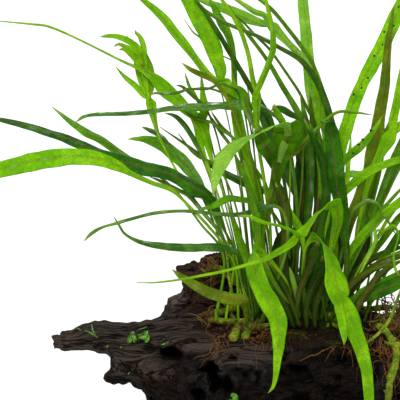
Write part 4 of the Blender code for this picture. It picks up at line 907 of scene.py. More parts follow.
def wood_finish():
    """Dark, wet, weathered wood: long grain, deep grooves, and gloss only where it is crumpled, with painted
    light on the arm and ledge, painted shade in grooves and hollows, and a painted reflection low on the left.
    """
    paint = Paint("wet driftwood")
    place = paint.place()
    x, y, z = paint.split(place)
    along, across, _ = paint.split(paint.uv("grain"))
    hollow_shade, shine, _ = paint.split(paint.uv("wear"))
    grain = paint.noise(paint.join(along * 0.030, across * 0.36, y * 0.3), 1.0, 4.0, 0.58, 0.4)
    fibres = paint.noise(paint.join(along * 0.13, across * 1.9, y * 1.4), 1.0, 4.0, 0.62, 0.2)
    grit = paint.noise(place, 1.15, 5.0, 0.68)
    broad = paint.noise(place, 0.055, 3.0, 0.5)
    cracks_and_shade = abs(paint.noise(paint.join(along * 0.026, across * 0.30, y * 0.25), 1.0, 3.0, 0.55, 0.6) - 0.5)
    cracks_and_shade = cracks_and_shade.rise(0.055, 0.004)
    wrinkle = 1 - abs(paint.noise(place, 0.62, 4.0, 0.62, 1.1) - 0.5) * 5.0
    stump = z.rise(62, 70) * y.rise(0, 10)
    arm = x.rise(-60, -84) * z.rise(36, 44)
    ledge = z.rise(47, 52) * z.rise(66, 60) * x.rise(0, -30)
    # Painted light: the left arm and the ledge, where the light falls, get lighter browns and lighter grain
    # than the rest of the wood.
    lit = arm.math("MAXIMUM", ledge)
    colour = paint.mix(grit.rise(0.36, 0.66), (0.0036, 0.0024, 0.0018), (0.017, 0.0110, 0.0078))
    colour = paint.mix(lit * (0.35 + 0.65 * grit.rise(0.36, 0.66)), colour, (0.038, 0.0275, 0.0215))
    colour = paint.mix(grain.rise(0.36, 0.60) * lit * 0.75, colour, (0.056, 0.042, 0.034))
    colour = paint.mix(broad.rise(0.42, 0.30) * 0.6, colour, (0.0055, 0.0040, 0.0032))
    colour = paint.mix(stump * (0.35 + 0.55 * grit.rise(0.38, 0.62)), colour, (0.062, 0.032, 0.021))
    wall = stump * z.rise(73, 66) * x.rise(-58, -66)
    colour = paint.mix(wall * 0.85, colour, (0.150, 0.116, 0.108))
    tip = x.rise(-112, -124) * (0.4 + 0.6 * fibres.rise(0.4, 0.6))
    colour = paint.mix(tip * 0.6, colour, (0.080, 0.050, 0.034))
    # Pale fibres: real grain, but drawn almost only where the light falls, which makes them partly painted
    # light.
    pale = fibres.rise(0.53, 0.68) * (0.04 + 0.96 * lit)
    colour = paint.mix(pale * 0.5, colour, (0.110, 0.086, 0.070))
    # Painted reflection: a grey-blue patch low on the left, standing in for the pale surroundings mirrored in
    # the wet wood.
    painted_reflection = x.rise(-92, -86) * x.rise(-64, -74) * z.rise(30, 24)
    colour = paint.mix(painted_reflection * 0.75, colour, (0.066, 0.066, 0.074))
    slope = x.rise(30, 44) * z.rise(62, 52)
    colour = paint.mix(slope * 0.7, colour, (0.050, 0.036, 0.028))
    # Painted shade: the grain's grooves darkened to near black, standing in for the shade that falls into
    # them, and less so where the wood shines.
    colour = paint.mix(cracks_and_shade * (1 - 0.75 * shine) * 0.92, colour, (0.0020, 0.0014, 0.0011))
    # Painted shade: pits, grooves and caves darkened to near black, where shade falls into them.
    colour = paint.mix(hollow_shade, colour, (0.0011, 0.0008, 0.0007))
    moss = paint.noise(place, 0.17, 4.0, 0.7).rise(0.69, 0.75) * grit.rise(0.5, 0.6)
    colour = paint.mix(moss * 0.7, colour, (0.06, 0.13, 0.01))
    height = (grain * 0.7 + fibres * 0.25 - cracks_and_shade * 0.55) * (1 - 0.7 * shine) + grit * 0.30
    dry = paint.surface(colour, 0.80 - 0.12 * grit, paint.bump(height, 1.0, 1.7), Specular_IOR_Level=0.02)
    folds = paint.bump(wrinkle * 0.7 + grit * 0.5, 1.0, 2.6)
    soaked = paint.mix(0.55, colour, (0.0020, 0.0016, 0.0014))
    wet = paint.surface(soaked, 0.24, folds, Specular_IOR_Level=0.85)
    film = shine * (1 - hollow_shade) * paint.noise(place, 0.30, 3.0, 0.6).rise(0.36, 0.50)
    return paint.finish(paint.node("ShaderNodeMixShader", None, {0: film, 1: dry, 2: wet}))


def felt_finish():
    """The felt of old roots and moss that the creeping stems sit in."""
    paint = Paint("root felt")
    place = paint.place()
    x, y, z = paint.split(place)
    strands = paint.noise(paint.place(scale=(1.0, 0.35, 0.6)), 1.9, 4.0, 0.65, 1.4)
    grit = paint.noise(place, 1.1, 5.0, 0.68)
    broad = paint.noise(place, 0.10, 3.0, 0.55)
    colour = paint.mix(grit.rise(0.32, 0.68), (0.0060, 0.0040, 0.0028), (0.026, 0.016, 0.010))
    colour = paint.mix(strands.rise(0.56, 0.68) * 0.55, colour, (0.085, 0.042, 0.014))
    moss = (broad.rise(0.52, 0.64) * x.rise(-30, -14).math("MAXIMUM", x.rise(30, 42))) * grit.rise(0.4, 0.6)
    colour = paint.mix(moss * 0.6, colour, (0.045, 0.085, 0.006))
    normal = paint.bump(grit * 0.6 + strands * 0.6, 1.0, 1.2)
    return paint.finish(paint.surface(colour, 0.80 - 0.1 * grit, normal, Specular_IOR_Level=0.03))


def rhizome_finish():
    """A creeping stem: mottled green, with brown scales and a brown end."""
    paint = Paint("rhizome skin")
    place = paint.place()
    x, y, z = paint.split(place)
    broad = paint.noise(place, 0.20, 3.0)
    fine = paint.noise(place, 1.3, 4.0, 0.6)
    scales = paint.cells(place, 0.85).rise(0.10, 0.02)
    colour = paint.mix(broad.rise(0.38, 0.62), (0.10, 0.19, 0.004), (0.30, 0.42, 0.010))
    colour = paint.mix(fine.rise(0.52, 0.66) * 0.75, colour, (0.085, 0.042, 0.010))
    colour = paint.mix(scales * 0.6, colour, (0.05, 0.035, 0.008))
    end = x.rise(-36, -41) * z.rise(66, 60) + x.rise(-44, -51) * z.rise(60, 62)
    colour = paint.mix(end * (0.35 + 0.65 * fine.rise(0.35, 0.6)), colour, (0.13, 0.055, 0.016))
    colour = paint.mix(z.rise(58, 38) * 0.55, colour, (0.055, 0.055, 0.008))
    normal = paint.bump(fine * 0.7 - scales * 0.5, 0.9, 0.7)
    return paint.finish(paint.surface(colour, 0.45 + 0.25 * fine, normal, Specular_IOR_Level=0.15))


def crumb_finish():
    """Small green things without a midrib: moss threads and curled bits of leaf."""
    paint = Paint("green crumbs")
    place = paint.place()
    tone = paint.noise(place, 0.6, 3.0, 0.6).rise(0.36, 0.62)
    colour = paint.mix(tone, (0.018, 0.075, 0.006), (0.12, 0.30, 0.02))
    return paint.finish(paint.surface(colour, 0.5, paint.bump(tone, 0.4, 0.3), Specular_IOR_Level=0.25))


def dot_finish():
    paint = Paint("spore dots")
    place = paint.place()
    tone = paint.noise(place, 1.0, 2.0)
    colour = paint.mix(tone, (0.010, 0.008, 0.006), (0.030, 0.022, 0.014))
    return paint.finish(paint.surface(colour, 0.6, paint.bump(tone, 0.3, 0.2), Specular_IOR_Level=0.2))


def root_finish():
    paint = Paint("roots")
    place = paint.place()
    fine = paint.noise(place, 1.2, 4.0, 0.6)
    broad = paint.noise(place, 0.12, 2.0)
    x, y, z = paint.split(place)
    colour = paint.mix(fine.rise(0.3, 0.7), (0.055, 0.022, 0.006), (0.24, 0.105, 0.022))
    colour = paint.mix(broad.rise(0.46, 0.36) * 0.7, colour, (0.030, 0.016, 0.008))
    moss = z.rise(60, 66) * broad.rise(0.50, 0.60)
    colour = paint.mix(moss * 0.65, colour, (0.10, 0.15, 0.008))
    normal = paint.bump(fine, 0.5, 0.2)
    return paint.finish(paint.surface(colour, 0.55 + 0.25 * fine, normal, Specular_IOR_Level=0.15))


def floor_finish():
    paint = Paint("plain floor")
    return paint.finish(paint.node("ShaderNodeBsdfDiffuse", None, {"Color": (0.92, 0.92, 0.92, 1.0)}))


# Pieces

def finish_piece(name, bm, material, smooth=True):
    bmesh.ops.recalc_face_normals(bm, faces=bm.faces)
    mesh = bpy.data.meshes.new(name)
    bm.to_mesh(mesh)
    bm.free()
    if smooth:
        mesh.shade_smooth()
    mesh.materials.append(material)
    made = bpy.data.objects.new(name, mesh)
    bpy.context.scene.collection.objects.link(made)
    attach(made, "root")
    return made


# Driftwood

WOOD_NODES = ["driftwood_trunk", "driftwood_left_arm", "driftwood_stump", "driftwood_right_arm"]
WOOD_VOXEL = 1.02
WOOD_SWELL = 0.4

# Hollows in the side toward the eye: (across, up) of the middle on the sheet, half widths, depth, mm.
WOOD_CAVES = [
    ((-69.0, 45.5), (6.5, 4.2), 9.0),
    ((-79.0, 48.0), (5.0, 1.6), 3.0),
    ((-49.5, 36.5), (3.2, 5.5), 11.0),
    ((-47.0, 30.0), (3.6, 5.0), 11.0),
    ((-53.5, 38.0), (4.0, 2.0), 7.0),
    ((-41.5, 28.5), (3.6, 5.2), 10.0),
    ((-56.0, 24.5), (4.0, 4.5), 6.0),
    ((-38.0, 43.0), (3.0, 1.6), 4.0),
    ((-61.0, 70.5), (1.5, 1.6), 3.5),
    ((-14.0, 44.0), (3.0, 1.6), 3.0),
    ((-26.0, 34.0), (2.2, 3.4), 4.0),
    ((10.0, 28.0), (4.0, 2.4), 3.5),
    ((44.0, 24.0), (5.0, 3.0), 5.0),
    ((-12.0, 20.0), (5.0, 3.0), 5.0),
    ((-78.0, 17.0), (6.0, 5.0), 7.0),
]

# Where the front is crumpled and shines: (across, up) on the sheet and half widths, mm.
WOOD_GLOSS = [
    ((-52.0, 33.0), (13.0, 13.0)),
    ((-60.0, 22.0), (10.0, 8.0)),
    ((-38.0, 45.0), (7.0, 5.0)),
    ((-24.0, 36.0), (6.0, 8.0)),
    ((-96.0, 44.0), (6.0, 3.0)),
    ((-26.0, 62.0), (10.0, 4.0)),
    ((34.0, 30.0), (8.0, 10.0)),
]

# The weathered outline seen from the front: places on the sheet (mm) on the solids' edge, and where the
# wood's own edge runs there.
WOOD_EDGE = [
    ((-128, 57), (-127.5, 55.25)), ((-125, 59.5), (-125, 56.5)), ((-122, 61), (-122, 57)),
    ((-119, 62), (-119, 57.85)), ((-116, 62.5), (-116, 60)), ((-113, 63), (-113.75, 62.2)),
    ((-110, 64), (-110, 62.5)), ((-104, 65), (-104, 62.75)), ((-98, 66), (-98, 62.25)),
    ((-92, 65.5), (-92, 61.7)), ((-86, 65), (-86, 61.75)), ((-80.5, 64.5), (-80, 62.5)),
    ((-128, 46), (-127, 48.25)), ((-122, 46.75), (-122, 47.75)), ((-116, 46.5), (-116, 47.75)),
    ((-110, 46), (-110, 47.25)), ((-107, 44.5), (-106, 46.5)), ((-105, 43), (-101.5, 45.5)),
    ((-104.5, 40.5), (-100, 42.5)), ((-104.5, 37.5), (-100.5, 38.5)), ((-104, 34), (-102.25, 35)),
    ((-103.5, 31), (-103, 32.75)), ((-100, 28), (-99, 30.75)), ((-96, 26), (-94.5, 30.5)),
    ((-92, 24.5), (-90, 31.25)), ((-88, 23.75), (-87, 28.5)), ((-85.5, 22), (-84.5, 24.5)),
    ((-78.5, 65.5), (-75, 65.5)), ((-76.5, 67.5), (-73.75, 67.5)), ((-75.5, 69.5), (-72.5, 69.5)),
    ((-74.5, 71.5), (-71.25, 71.5)), ((-74, 73.5), (-72.25, 73.85)), ((-73, 75.5), (-68, 74.75)),
    ((-71, 77.5), (-64.5, 76.75)), ((-69.5, 79.5), (-64.25, 79.5)), ((-67, 81.5), (-64.75, 82)),
    ((-65, 87.5), (-66.25, 87.5)), ((-64.5, 89.5), (-65.5, 89.5)), ((-62.5, 92), (-62.5, 90.75)),
    ((-59.5, 93), (-59, 91.5)), ((-57, 93), (-55.5, 91.75)), ((-54.5, 93.5), (-54.5, 94)),
    ((-52, 94.5), (-51.5, 96)), ((-48.5, 95), (-48, 96.5)), ((-44, 95), (-44, 96.75)),
    ((-131.5, 54.5), (-128.85, 54.5)), ((-132.5, 52), (-128.35, 52.25)), ((-132, 49.5), (-128.35, 50)),
    ((-131.5, 47.5), (-129.5, 47.85)),
]
EDGE_REACH = 15.0


def edge_shift(across, up):
    """How far the wood's outline is drawn in or out near a place on the sheet (mm)."""
    total = 0.006
    shift = Vector((0.0, 0.0))
    for (a, h), (a_to, h_to) in WOOD_EDGE:
        away = math.hypot(across - a, up - h)
        if away < EDGE_REACH:
            weight = ((1 - away / EDGE_REACH) / (away + 0.8)) ** 2
            total += weight
            shift += weight * Vector((a_to - a, h_to - h))
    return shift / total


def grain_flow(place):
    """How far along and across the grain a place lies: level on the arms, falling over the bulge."""
    bulge = smooth_step(place.x, -46, -62) * smooth_step(place.z, 48, 40) * smooth_step(place.y, 20, -5)
    return place.x, place.z + 0.7 * place.y + 0.55 * bulge * (place.x + 100)


def wood_zones(place):
    """Shares of the flat grained arm, the broken stump and the crumpled front at a place."""
    arm = smooth_step(place.x, -52, -78) * smooth_step(place.z, 36, 44)
    ledge = smooth_step(place.z, 47, 51) * smooth_step(place.z, 66, 60) * smooth_step(place.x, 4, -24)
    stump = smooth_step(place.z, 62, 70) * smooth_step(place.y, 0, 10)
    grained = max(arm, ledge)
    bulge = smooth_step(place.x, -52, -66) * smooth_step(place.z, 48, 42)
    crumpled = (1 - grained) * (1 - stump) * (1 - 0.85 * bulge)
    return grained, stump, crumpled


def ridged(place):
    """Sharp crests with rounded grooves between, from about -0.6 to 1."""
    return 1.0 - 2.6 * abs(noise.noise(place))


def wood_relief(place):
    """Relief of the wet wood at a place (mm), outward along the surface, and the zones there."""
    along, across = grain_flow(place)
    grained, stump, crumpled = wood_zones(place)
    wander = 2.5 * noise.noise(place * 0.02 + Vector((4, 0, 2)))
    coarse = ridged(Vector((along * 0.018 + 3, across * 0.11 + wander * 0.1, place.y * 0.03)))
    fine = ridged(Vector((along * 0.035, across * 0.23 + wander * 0.3, place.y * 0.06)))
    creases = ridged(place * 0.10 + Vector((7, 7, 1)) + 0.7 * noise.noise_vector(place * 0.09))
    folds = ridged(place * 0.20 + 0.9 * noise.noise_vector(place * 0.16))
    pits = max(0.0, noise.noise(place * 0.16 + Vector((9, 2, 4))) - 0.14)
    crumbs = noise.noise(place * 0.38) + 0.6 * noise.noise(place * 0.7)
    push = grained * (0.8 * coarse + 1.1 * fine - 0.5) + 0.3 * crumbs
    push += crumpled * (1.3 * creases + 1.2 * folds - 8.0 * pits + 0.7 * crumbs - 0.8)
    push += stump * (0.9 * folds + 0.8 * fine - 5.0 * pits + 0.9 * crumbs - 0.4)
    rest = max(0.0, 1 - grained - crumpled - stump)
    push += rest * (0.6 * coarse + 1.2 * fine - 0.5)
    return push, grained, crumpled


def one_skin(nodes, swell, voxel):
    """A mesh of one closed skin over several solids, each swollen a little so that they meet."""
    bm = bmesh.new()
    for name in nodes:
        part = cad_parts[name].data.copy()
        solid = bmesh.new()
        solid.from_mesh(part)
        bmesh.ops.remove_doubles(solid, verts=solid.verts, dist=0.001 * MM)
        solid.normal_update()
        for vert in solid.verts:
            vert.co += vert.normal * swell * MM
        solid.to_mesh(part)
        solid.free()
        bm.from_mesh(part)
        bpy.data.meshes.remove(part)
    mesh = bpy.data.meshes.new("skin")
    bm.to_mesh(mesh)
    bm.free()
    made = bpy.data.objects.new("skin", mesh)
    bpy.context.scene.collection.objects.link(made)
    skin = made.modifiers.new("one skin", "REMESH")
    skin.mode = "VOXEL"
    skin.voxel_size = voxel * MM
    worn = made.modifiers.new("worn", "SMOOTH")
    worn.iterations = 6
    worn.factor = 0.6
    whole = bpy.data.meshes.new_from_object(made.evaluated_get(bpy.context.evaluated_depsgraph_get()))
    bpy.data.objects.remove(made)
    return whole


def build_driftwood(material):
    """One weathered skin over the four solids, with its grain, pits, caves and knobs worked in."""
    whole = one_skin(WOOD_NODES, WOOD_SWELL, WOOD_VOXEL)
    bm = bmesh.new()
    bm.from_mesh(whole)
    bm.normal_update()
    grain_map = bm.loops.layers.uv.new("grain")
    hollow_shade_and_wet_map = bm.loops.layers.uv.new("wear")
    moves = []
    for vert in bm.verts:
        place = vert.co / MM
        normal = vert.normal
        push, grained, crumpled = wood_relief(place)
        # The mask for painted shade in the hollows: how far a place is pushed in, and below, how deep it lies
        # in a cave.
        hollow_shade = 0.9 * smooth_step(push, -0.6, -2.8)
        under_plant = smooth_step(place.z, 54, 58) * smooth_step(place.y, 30, 20)
        under_plant *= smooth_step(place.x, -34, -22) * smooth_step(place.x, 64, 52)
        push *= 1 - 0.7 * under_plant
        move = normal * push
        if normal.dot(SIGHT) < -0.05:
            across, up, _ = to_sheet(place)
            edge = 1.0 + 0.34 * noise.noise(place * 0.22) + 0.22 * noise.noise(place * 0.6)
            for (a, h), (wide, tall), depth in WOOD_CAVES:
                share = math.hypot((across - a) / wide, (up - h) / tall) * edge
                cave = smooth_step(share, 1.12, 0.60)
                hollow_shade = max(hollow_shade, smooth_step(share, 1.15, 0.55) * min(1.0, depth / 5))
                move += SIGHT * depth * cave
        across, up, _ = to_sheet(place)
        ragged = 1.0 + 0.5 * noise.noise(place * 0.2)
        nearest = min(math.hypot((across - a) / wide, (up - h) / tall) for (a, h), (wide, tall) in WOOD_GLOSS)
        shine = crumpled * (0.12 + 0.88 * smooth_step(nearest * ragged, 1.25, 0.75))
        flat = smooth_step(place.z, 0.5, 4.0)
        for loop in vert.link_loops:
            loop[grain_map].uv = grain_flow(place)
            loop[hollow_shade_and_wet_map].uv = (hollow_shade, shine)
        moves.append(move * flat * MM)
    for vert, move in zip(bm.verts, moves):
        vert.co += move
        across, up, depth = to_sheet(vert.co / MM)
        if across < -36:
            spread = (EYE_DISTANCE + depth) / EYE_DISTANCE
            shift = edge_shift(across, up) * spread * smooth_step(vert.co.z / MM, 2.0, 12.0)
            vert.co += (shift.x * Vector((1, 0, 0)) + shift.y * SHEET_UP) * MM
        vert.co.z = max(vert.co.z, 0.0)
    bmesh.ops.smooth_vert(bm, verts=bm.verts, factor=0.25, use_axis_x=True, use_axis_y=True, use_axis_z=True)
    bmesh.ops.recalc_face_normals(bm, faces=bm.faces)
    tree = BVHTree.FromBMesh(bm)
    made = finish_piece("driftwood", bm, material)
    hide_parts(*WOOD_NODES)
    return tree


# Rhizomes and roots

def rope(bm, path, radii, sides=8):
    """A tube along a path, its radius given at each point, made by drawing a ring along."""
    ring = bmesh.ops.create_circle(bm, segments=sides, radius=1.0)["verts"]
    start = [vert.co.copy() for vert in ring]
    edges = list({edge for vert in ring for edge in vert.link_edges})
    cap = bmesh.ops.holes_fill(bm, edges=edges, sides=0)["faces"]
    previous = None
    turn = None
    for index, place in enumerate(path):
        ahead = path[min(index + 1, len(path) - 1)]
        behind = path[max(index - 1, 0)]
        along = (ahead - behind).normalized()
        if turn is None:
            turn = Vector((0, 0, 1)).rotation_difference(along).to_matrix()
        else:
            turn = previous.rotation_difference(along).to_matrix() @ turn
        previous = along
        if index:
            out = bmesh.ops.extrude_edge_only(bm, edges=edges)["geom"]
            fresh = {item for item in out if isinstance(item, bmesh.types.BMVert)}
            ring = [next(other for other in (edge.other_vert(vert) for edge in vert.link_edges)
                         if other in fresh) for vert in ring]
            edges = [item for item in out if isinstance(item, bmesh.types.BMEdge)
                     and item.verts[0] in fresh and item.verts[1] in fresh]
        for vert, spot in zip(ring, start):
            vert.co = (place + turn @ (spot * radii[index])) * MM
    bmesh.ops.holes_fill(bm, edges=edges, sides=0)


def rhizome_line(name):
    """The creeping stem's middle line, wavering a little and sagging over the wood at its left end."""
    run = [Vector((*point, 0)) for point in RHIZOMES[name]]
    path = [p.to_3d() for p in smooth_curve(run, round(curve_length(run) / 0.9))]
    for place in path:
        place += 1.1 * noise.noise_vector(place * 0.09)
        if name == "rhizome_front":
            place.z -= 3.0 * smooth_step(place.x, -27, -40)
    if name == "rhizome_front":
        path = [place for place in path if place.x > -31]
    return path


# Short branches of the creeping stems, laid onto the wood: radii at both ends and (across, up) places.
RHIZOME_BRANCHES = [
    (2.0, 2.4, [(-50.5, 64.5), (-47, 64.8), (-43, 65.8), (-37, 67.8), (-31, 68.2), (-24, 66.5)]),
    (2.3, 1.9, [(-39.5, 51), (-38.3, 52.6), (-37, 54.5), (-34.5, 58.5), (-31, 62.5), (-24, 66.5)]),
    (2.0, 1.6, [(-32.6, 53), (-31.6, 55), (-30, 59), (-26, 63)]),
    (0.9, 1.0, [(-43.5, 72), (-41.5, 68.5), (-39, 64), (-35.5, 60.5)]),
    (1.6, 1.4, [(8.5, 66), (10.5, 63.5), (13, 60.5), (15.5, 57)]),
]


def laid(trees, points, lift):
    """A line seen at the given places on the sheet, resting on the first of the surfaces behind it."""
    line = []
    for at in points:
        aim = (from_sheet(at[0], at[1], 0) - EYE).normalized()
        hits = [tree.ray_cast(EYE * MM, aim) for tree in trees]
        hits = [hit for hit in hits if hit[0] is not None]
        if hits:
            spot, normal, _, _ = min(hits, key=lambda hit: hit[3])
            line.append(spot / MM + normal * lift)
    return line


def rhizome_branches(bm, trees):
    for first, last, points in RHIZOME_BRANCHES:
        anchors = laid(trees, points, 0.75 * first)
        run = [Vector((*place, 0)) for place in anchors]
        path = [p.to_3d() for p in smooth_curve(run, round(curve_length(run) / 0.8))]
        radii = []
        for index, place in enumerate(path):
            share = index / (len(path) - 1)
            knob = 1 + 0.26 * noise.noise(place * 0.35) + 0.15 * noise.noise(place)
            radii.append((first + (last - first) * share) * knob * min(1.0, 0.45 + 0.35 * index))
        rope(bm, path, radii, 12)


def build_rhizomes(material, trees):
    for number, name in enumerate(RHIZOMES):
        path = rhizome_line(name)
        radii = []
        for index, place in enumerate(path):
            end = min(index, len(path) - 1 - index) * 0.9
            ring = 0.5 + 0.5 * math.sin(index * 0.9 * 2 * math.pi / 3.6 + number)
            knob = 1 + 0.22 * noise.noise(place * 0.30) + 0.14 * noise.noise(place * 0.9) + 0.09 * ring ** 3
            radii.append(RHIZOME_RADIUS * knob * min(1.0, 0.35 + 0.30 * end))
        bm = bmesh.new()
        rope(bm, path, radii, 12)
        for side, start, count in ((-1, 0.10, 3), (1, 0.30, 2), (-1, 0.85, 2)):
            for bud in range(count):
                root = path[int((start + 0.05 * bud) * len(path))]
                way = Vector((0.5 * side, -0.75 + 0.3 * bud, 0.35)) + 0.5 * noise.noise_vector(root * 0.7)
                tip = [root + way.normalized() * (0.8 * step) for step in range(6)]
                rope(bm, tip, [1.0, 0.95, 0.85, 0.75, 0.55, 0.25], 8)
        if name == "rhizome_front":
            rhizome_branches(bm, trees)
        made = finish_piece(f"{name}_skin", bm, material)
        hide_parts(name)


def near_surface(trees, place, reach):
    """The nearest point of the wood or the felt to a place (mm) within reach, and the way out of it."""
    best = None
    for tree in trees:
        spot, normal, _, distance = tree.find_nearest(place * MM, reach * MM)
        if spot is not None and (best is None or distance < best[0]):
            best = (distance, spot / MM, normal)
    return best


def creeping_root(trees, start, heading, length, seed, gap=0.2):
    """A root's line: it wanders over what it meets and hangs where it meets nothing."""
    path = [start]
    way = heading.normalized()
    for _ in range(round(length / 1.1)):
        bend = noise.noise_vector(path[-1] * 0.16 + Vector((seed * 1.7, seed, 0)))
        way = (way + 0.42 * bend + Vector((0, 0, -0.10))).normalized()
        ahead = path[-1] + way * 1.1
        met = near_surface(trees, ahead, 3.0)
        if met and (ahead - met[1]).dot(met[2]) < 1.4:
            ahead = met[1] + met[2] * gap
            way = (ahead - path[-1]).normalized() if (ahead - path[-1]).length > 0.2 else way
        path.append(ahead)
    return path


# Where roots spring from: a place and its spread (mm), the way they set out, their count and length.
ROOT_CLUSTERS = [
    ((-40, -33, 60), (9, 5, 2), (-0.2, -0.8, -0.5), 26, 20),
    ((-46, -14, 63), (6, 5, 2), (-0.5, -0.7, -0.4), 16, 16),
    ((-26, -32, 62), (8, 4, 1.5), (-0.1, -0.8, -0.6), 26, 20),
    ((-46, 3, 86), (5, 3, 2), (-0.4, -0.6, -0.6), 12, 14),
    ((-6, -34, 61), (14, 3, 1), (-0.1, -0.9, -0.5), 12, 16),
    ((20, -36, 61), (10, 3, 1), (0.0, -0.9, -0.5), 20, 26),
    ((36, -44, 60), (7, 7, 3), (0.2, -0.7, -0.7), 40, 40),
    ((46, -22, 62), (6, 9, 2), (0.8, -0.3, -0.5), 24, 40),
    ((44, 10, 62), (6, 9, 2), (0.8, 0.3, -0.5), 14, 34),
    ((0, 20, 62), (30, 4, 1.5), (0.0, 0.8, -0.5), 26, 26),
]


def build_roots(material, trees):
    bm = bmesh.new()
    seed = 0
    for middle, spread, way, count, length in ROOT_CLUSTERS:
        for _ in range(count):
            seed += 1
            jitter = noise.random_unit_vector()
            start = Vector(middle) + Vector([spread[i] * jitter[i] for i in range(3)])
            heading = Vector(way) + 0.55 * noise.random_unit_vector()
            path = creeping_root(trees, start, heading, length * (0.45 + 0.75 * noise.random()), seed)
            thick = 0.16 + 0.20 * noise.random() ** 2
            radii = [thick * (1 - 0.65 * index / len(path)) for index in range(len(path))]
            rope(bm, path, radii, 4)
    return finish_piece("root_hairs", bm, material)


# Threads of moss and old root, tangled round the ends of the creeping stems: middle, half widths, count.
TANGLES = [
    ((37, -33, 66.5), (9, 6, 4.0), 70),
    ((46, -18, 67), (9, 10, 4.0), 50),
    ((-30, -30, 63), (9, 5, 2.0), 34),
    ((-49, -8, 66), (4, 5, 2.0), 18),
    ((-49, 3, 88), (4, 3, 2.4), 26),
    ((46, 8, 66), (8, 12, 3.5), 36),
]


def build_tangles(material):
    bm = bmesh.new()
    seed = 0
    for middle, half, count in TANGLES:
        for _ in range(count):
            seed += 1
            start = noise.random_unit_vector() * noise.random() ** 0.4
            place = Vector([middle[i] + half[i] * start[i] for i in range(3)])
            way = noise.random_unit_vector()
            path = [place]
            for _ in range(9 + round(6 * noise.random())):
                pull = Vector([(middle[i] - path[-1][i]) / half[i] ** 1.5 for i in range(3)])
                way = (way + 0.75 * noise.noise_vector(path[-1] * 0.35 + Vector((seed, 0, 0))) + 0.30 * pull)
                way.normalize()
                path.append(path[-1] + way * 0.95)
            thick = 0.20 + 0.22 * noise.random()
            last = len(path) - 1
            rope(bm, path, [thick * (0.6 + 0.4 * math.sin(math.pi * i / last)) for i in range(last + 1)], 4)
    return finish_piece("moss_tangle", bm, material)


def build_felt(material):
    """The dark lumpy felt round the creeping stems, over the solid of the root mat."""
    whole = one_skin(["root_mat", "rhizome_front", "rhizome_middle"], 1.2, 0.9)
    bm = bmesh.new()
    bm.from_mesh(whole)
    bm.normal_update()
    for vert in bm.verts:
        place = vert.co / MM
        lumps = 1.5 * noise.noise(place * 0.10 + Vector((2, 6, 1))) + 1.1 * noise.noise(place * 0.24)
        lumps += 0.7 * noise.noise(place * 0.6) + 0.4 * ridged(place * 0.5)
        top = smooth_step(vert.normal.z, 0.2, 0.7)
        dip = 2.2 * smooth_step(math.hypot((place.x - 2) / 9, (place.y + 33) / 6), 1.0, 0.2)
        edge = smooth_step(vert.normal.z, 0.5, 0.0)
        bared = smooth_step(place.x, -16, -27) * smooth_step(place.z, 60.5, 62) * 3.4
        bared += smooth_step(place.x, 33, 40) * smooth_step(place.z, 60.5, 62) * 3.0
        vert.co += (vert.normal * (lumps + 0.5 - dip * top - bared) - Vector((0, 0, 1.2)) * edge) * MM
    bm.normal_update()
    tree = BVHTree.FromBMesh(bm)
    made = finish_piece("root_felt", bm, material)
    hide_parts("root_mat")
    return tree


# Loose on the wood: kind, width (mm) and places (across, up) on the sheet, laid onto the wood behind them.
WOOD_BITS = [
    ("root", 0.45, [(-49, 59), (-45, 61.5), (-35, 60)]),
    ("root", 0.4, [(-46.5, 53.5), (-39, 53.5)]),
    ("root", 0.55, [(-5.5, 42), (0, 44.5), (3, 45), (6.5, 47), (11.5, 49), (16.5, 51)]),
    ("root", 0.4, [(15.5, 42.5), (18.5, 50), (21, 42.5)]),
    ("root", 0.4, [(15, 51), (10.5, 46.5), (7.5, 41.5)]),
    ("root", 0.55, [(36.5, 41.5), (38, 35), (40.5, 27.5), (42, 22)]),
    ("root", 0.5, [(40.5, 48.5), (42, 35), (43, 23.5), (44, 14)]),
    ("root", 0.4, [(21, 48), (25, 41.5), (28, 33)]),
    ("root", 0.4, [(-24, 55), (-19, 50.5), (-20, 46.5)]),
    ("moss", 0.8, [(-118, 58.5), (-116, 58), (-114, 57)]),
    ("moss", 0.7, [(-112.5, 57), (-109, 55.5), (-106, 53.5)]),
    ("moss", 0.7, [(-109, 60), (-108.5, 57), (-107, 55)]),
    ("moss", 0.8, [(-86.5, 57), (-84, 58), (-81.5, 58.8)]),
    ("moss", 0.8, [(-74, 50), (-72, 50.8), (-70.5, 51.5)]),
    ("moss", 1.0, [(-101.5, 49), (-100.5, 49.4)]),
    ("moss", 0.9, [(-95, 48.3), (-94, 48.6)]),
    ("moss", 0.9, [(-90.8, 35.6), (-90, 36)]),
    ("moss", 1.2, [(-54.5, 58.8), (-53.5, 58.8)]),
    ("leaf", 2.6, [(-91, 51.5), (-89.5, 53.5), (-88.5, 56)]),
    ("leaf", 2.2, [(-89.5, 55.5), (-88, 53), (-87, 51.5)]),
    ("leaf", 3.0, [(-86, 53.5), (-83, 54.5), (-81, 56.5)]),
    ("leaf", 2.6, [(-82.5, 56), (-81.5, 53.5), (-83, 51.5)]),
    ("leaf", 3.0, [(-39, 25), (-37.5, 24), (-36, 22)]),
    ("leaf", 2.4, [(-40, 23), (-38.5, 21.5), (-37, 20.5)]),
]


def build_wood_bits(finishes, tree):
    """Leaf crumbs, threads of moss and single roots that lie on the front of the wood."""
    for kind, slot in (("root", "roots"), ("moss", "frond_bright"), ("leaf", "frond_mid")):
        bm = bmesh.new()
        for own, width, points in WOOD_BITS:
            if own != kind:
                continue
            line = smooth_curve([Vector((*p, 0, 0)) for p in points],
                                max(4, round(curve_length([Vector((*p, 0)) for p in points]) / 0.5)))
            path = laid([tree], [(at.x, at.y) for at in line], 0.15 + 0.2 * width)
            last = len(path) - 1
            if kind == "leaf":
                curl(bm, path, width)
            else:
                rope(bm, path, [width / 2 * (0.45 + 0.55 * math.sin(math.pi * (i + 0.5) / (last + 1)))
                                for i in range(last + 1)], 6)
        finish_piece(f"wood_{kind}_bits", bm, finishes[kind])


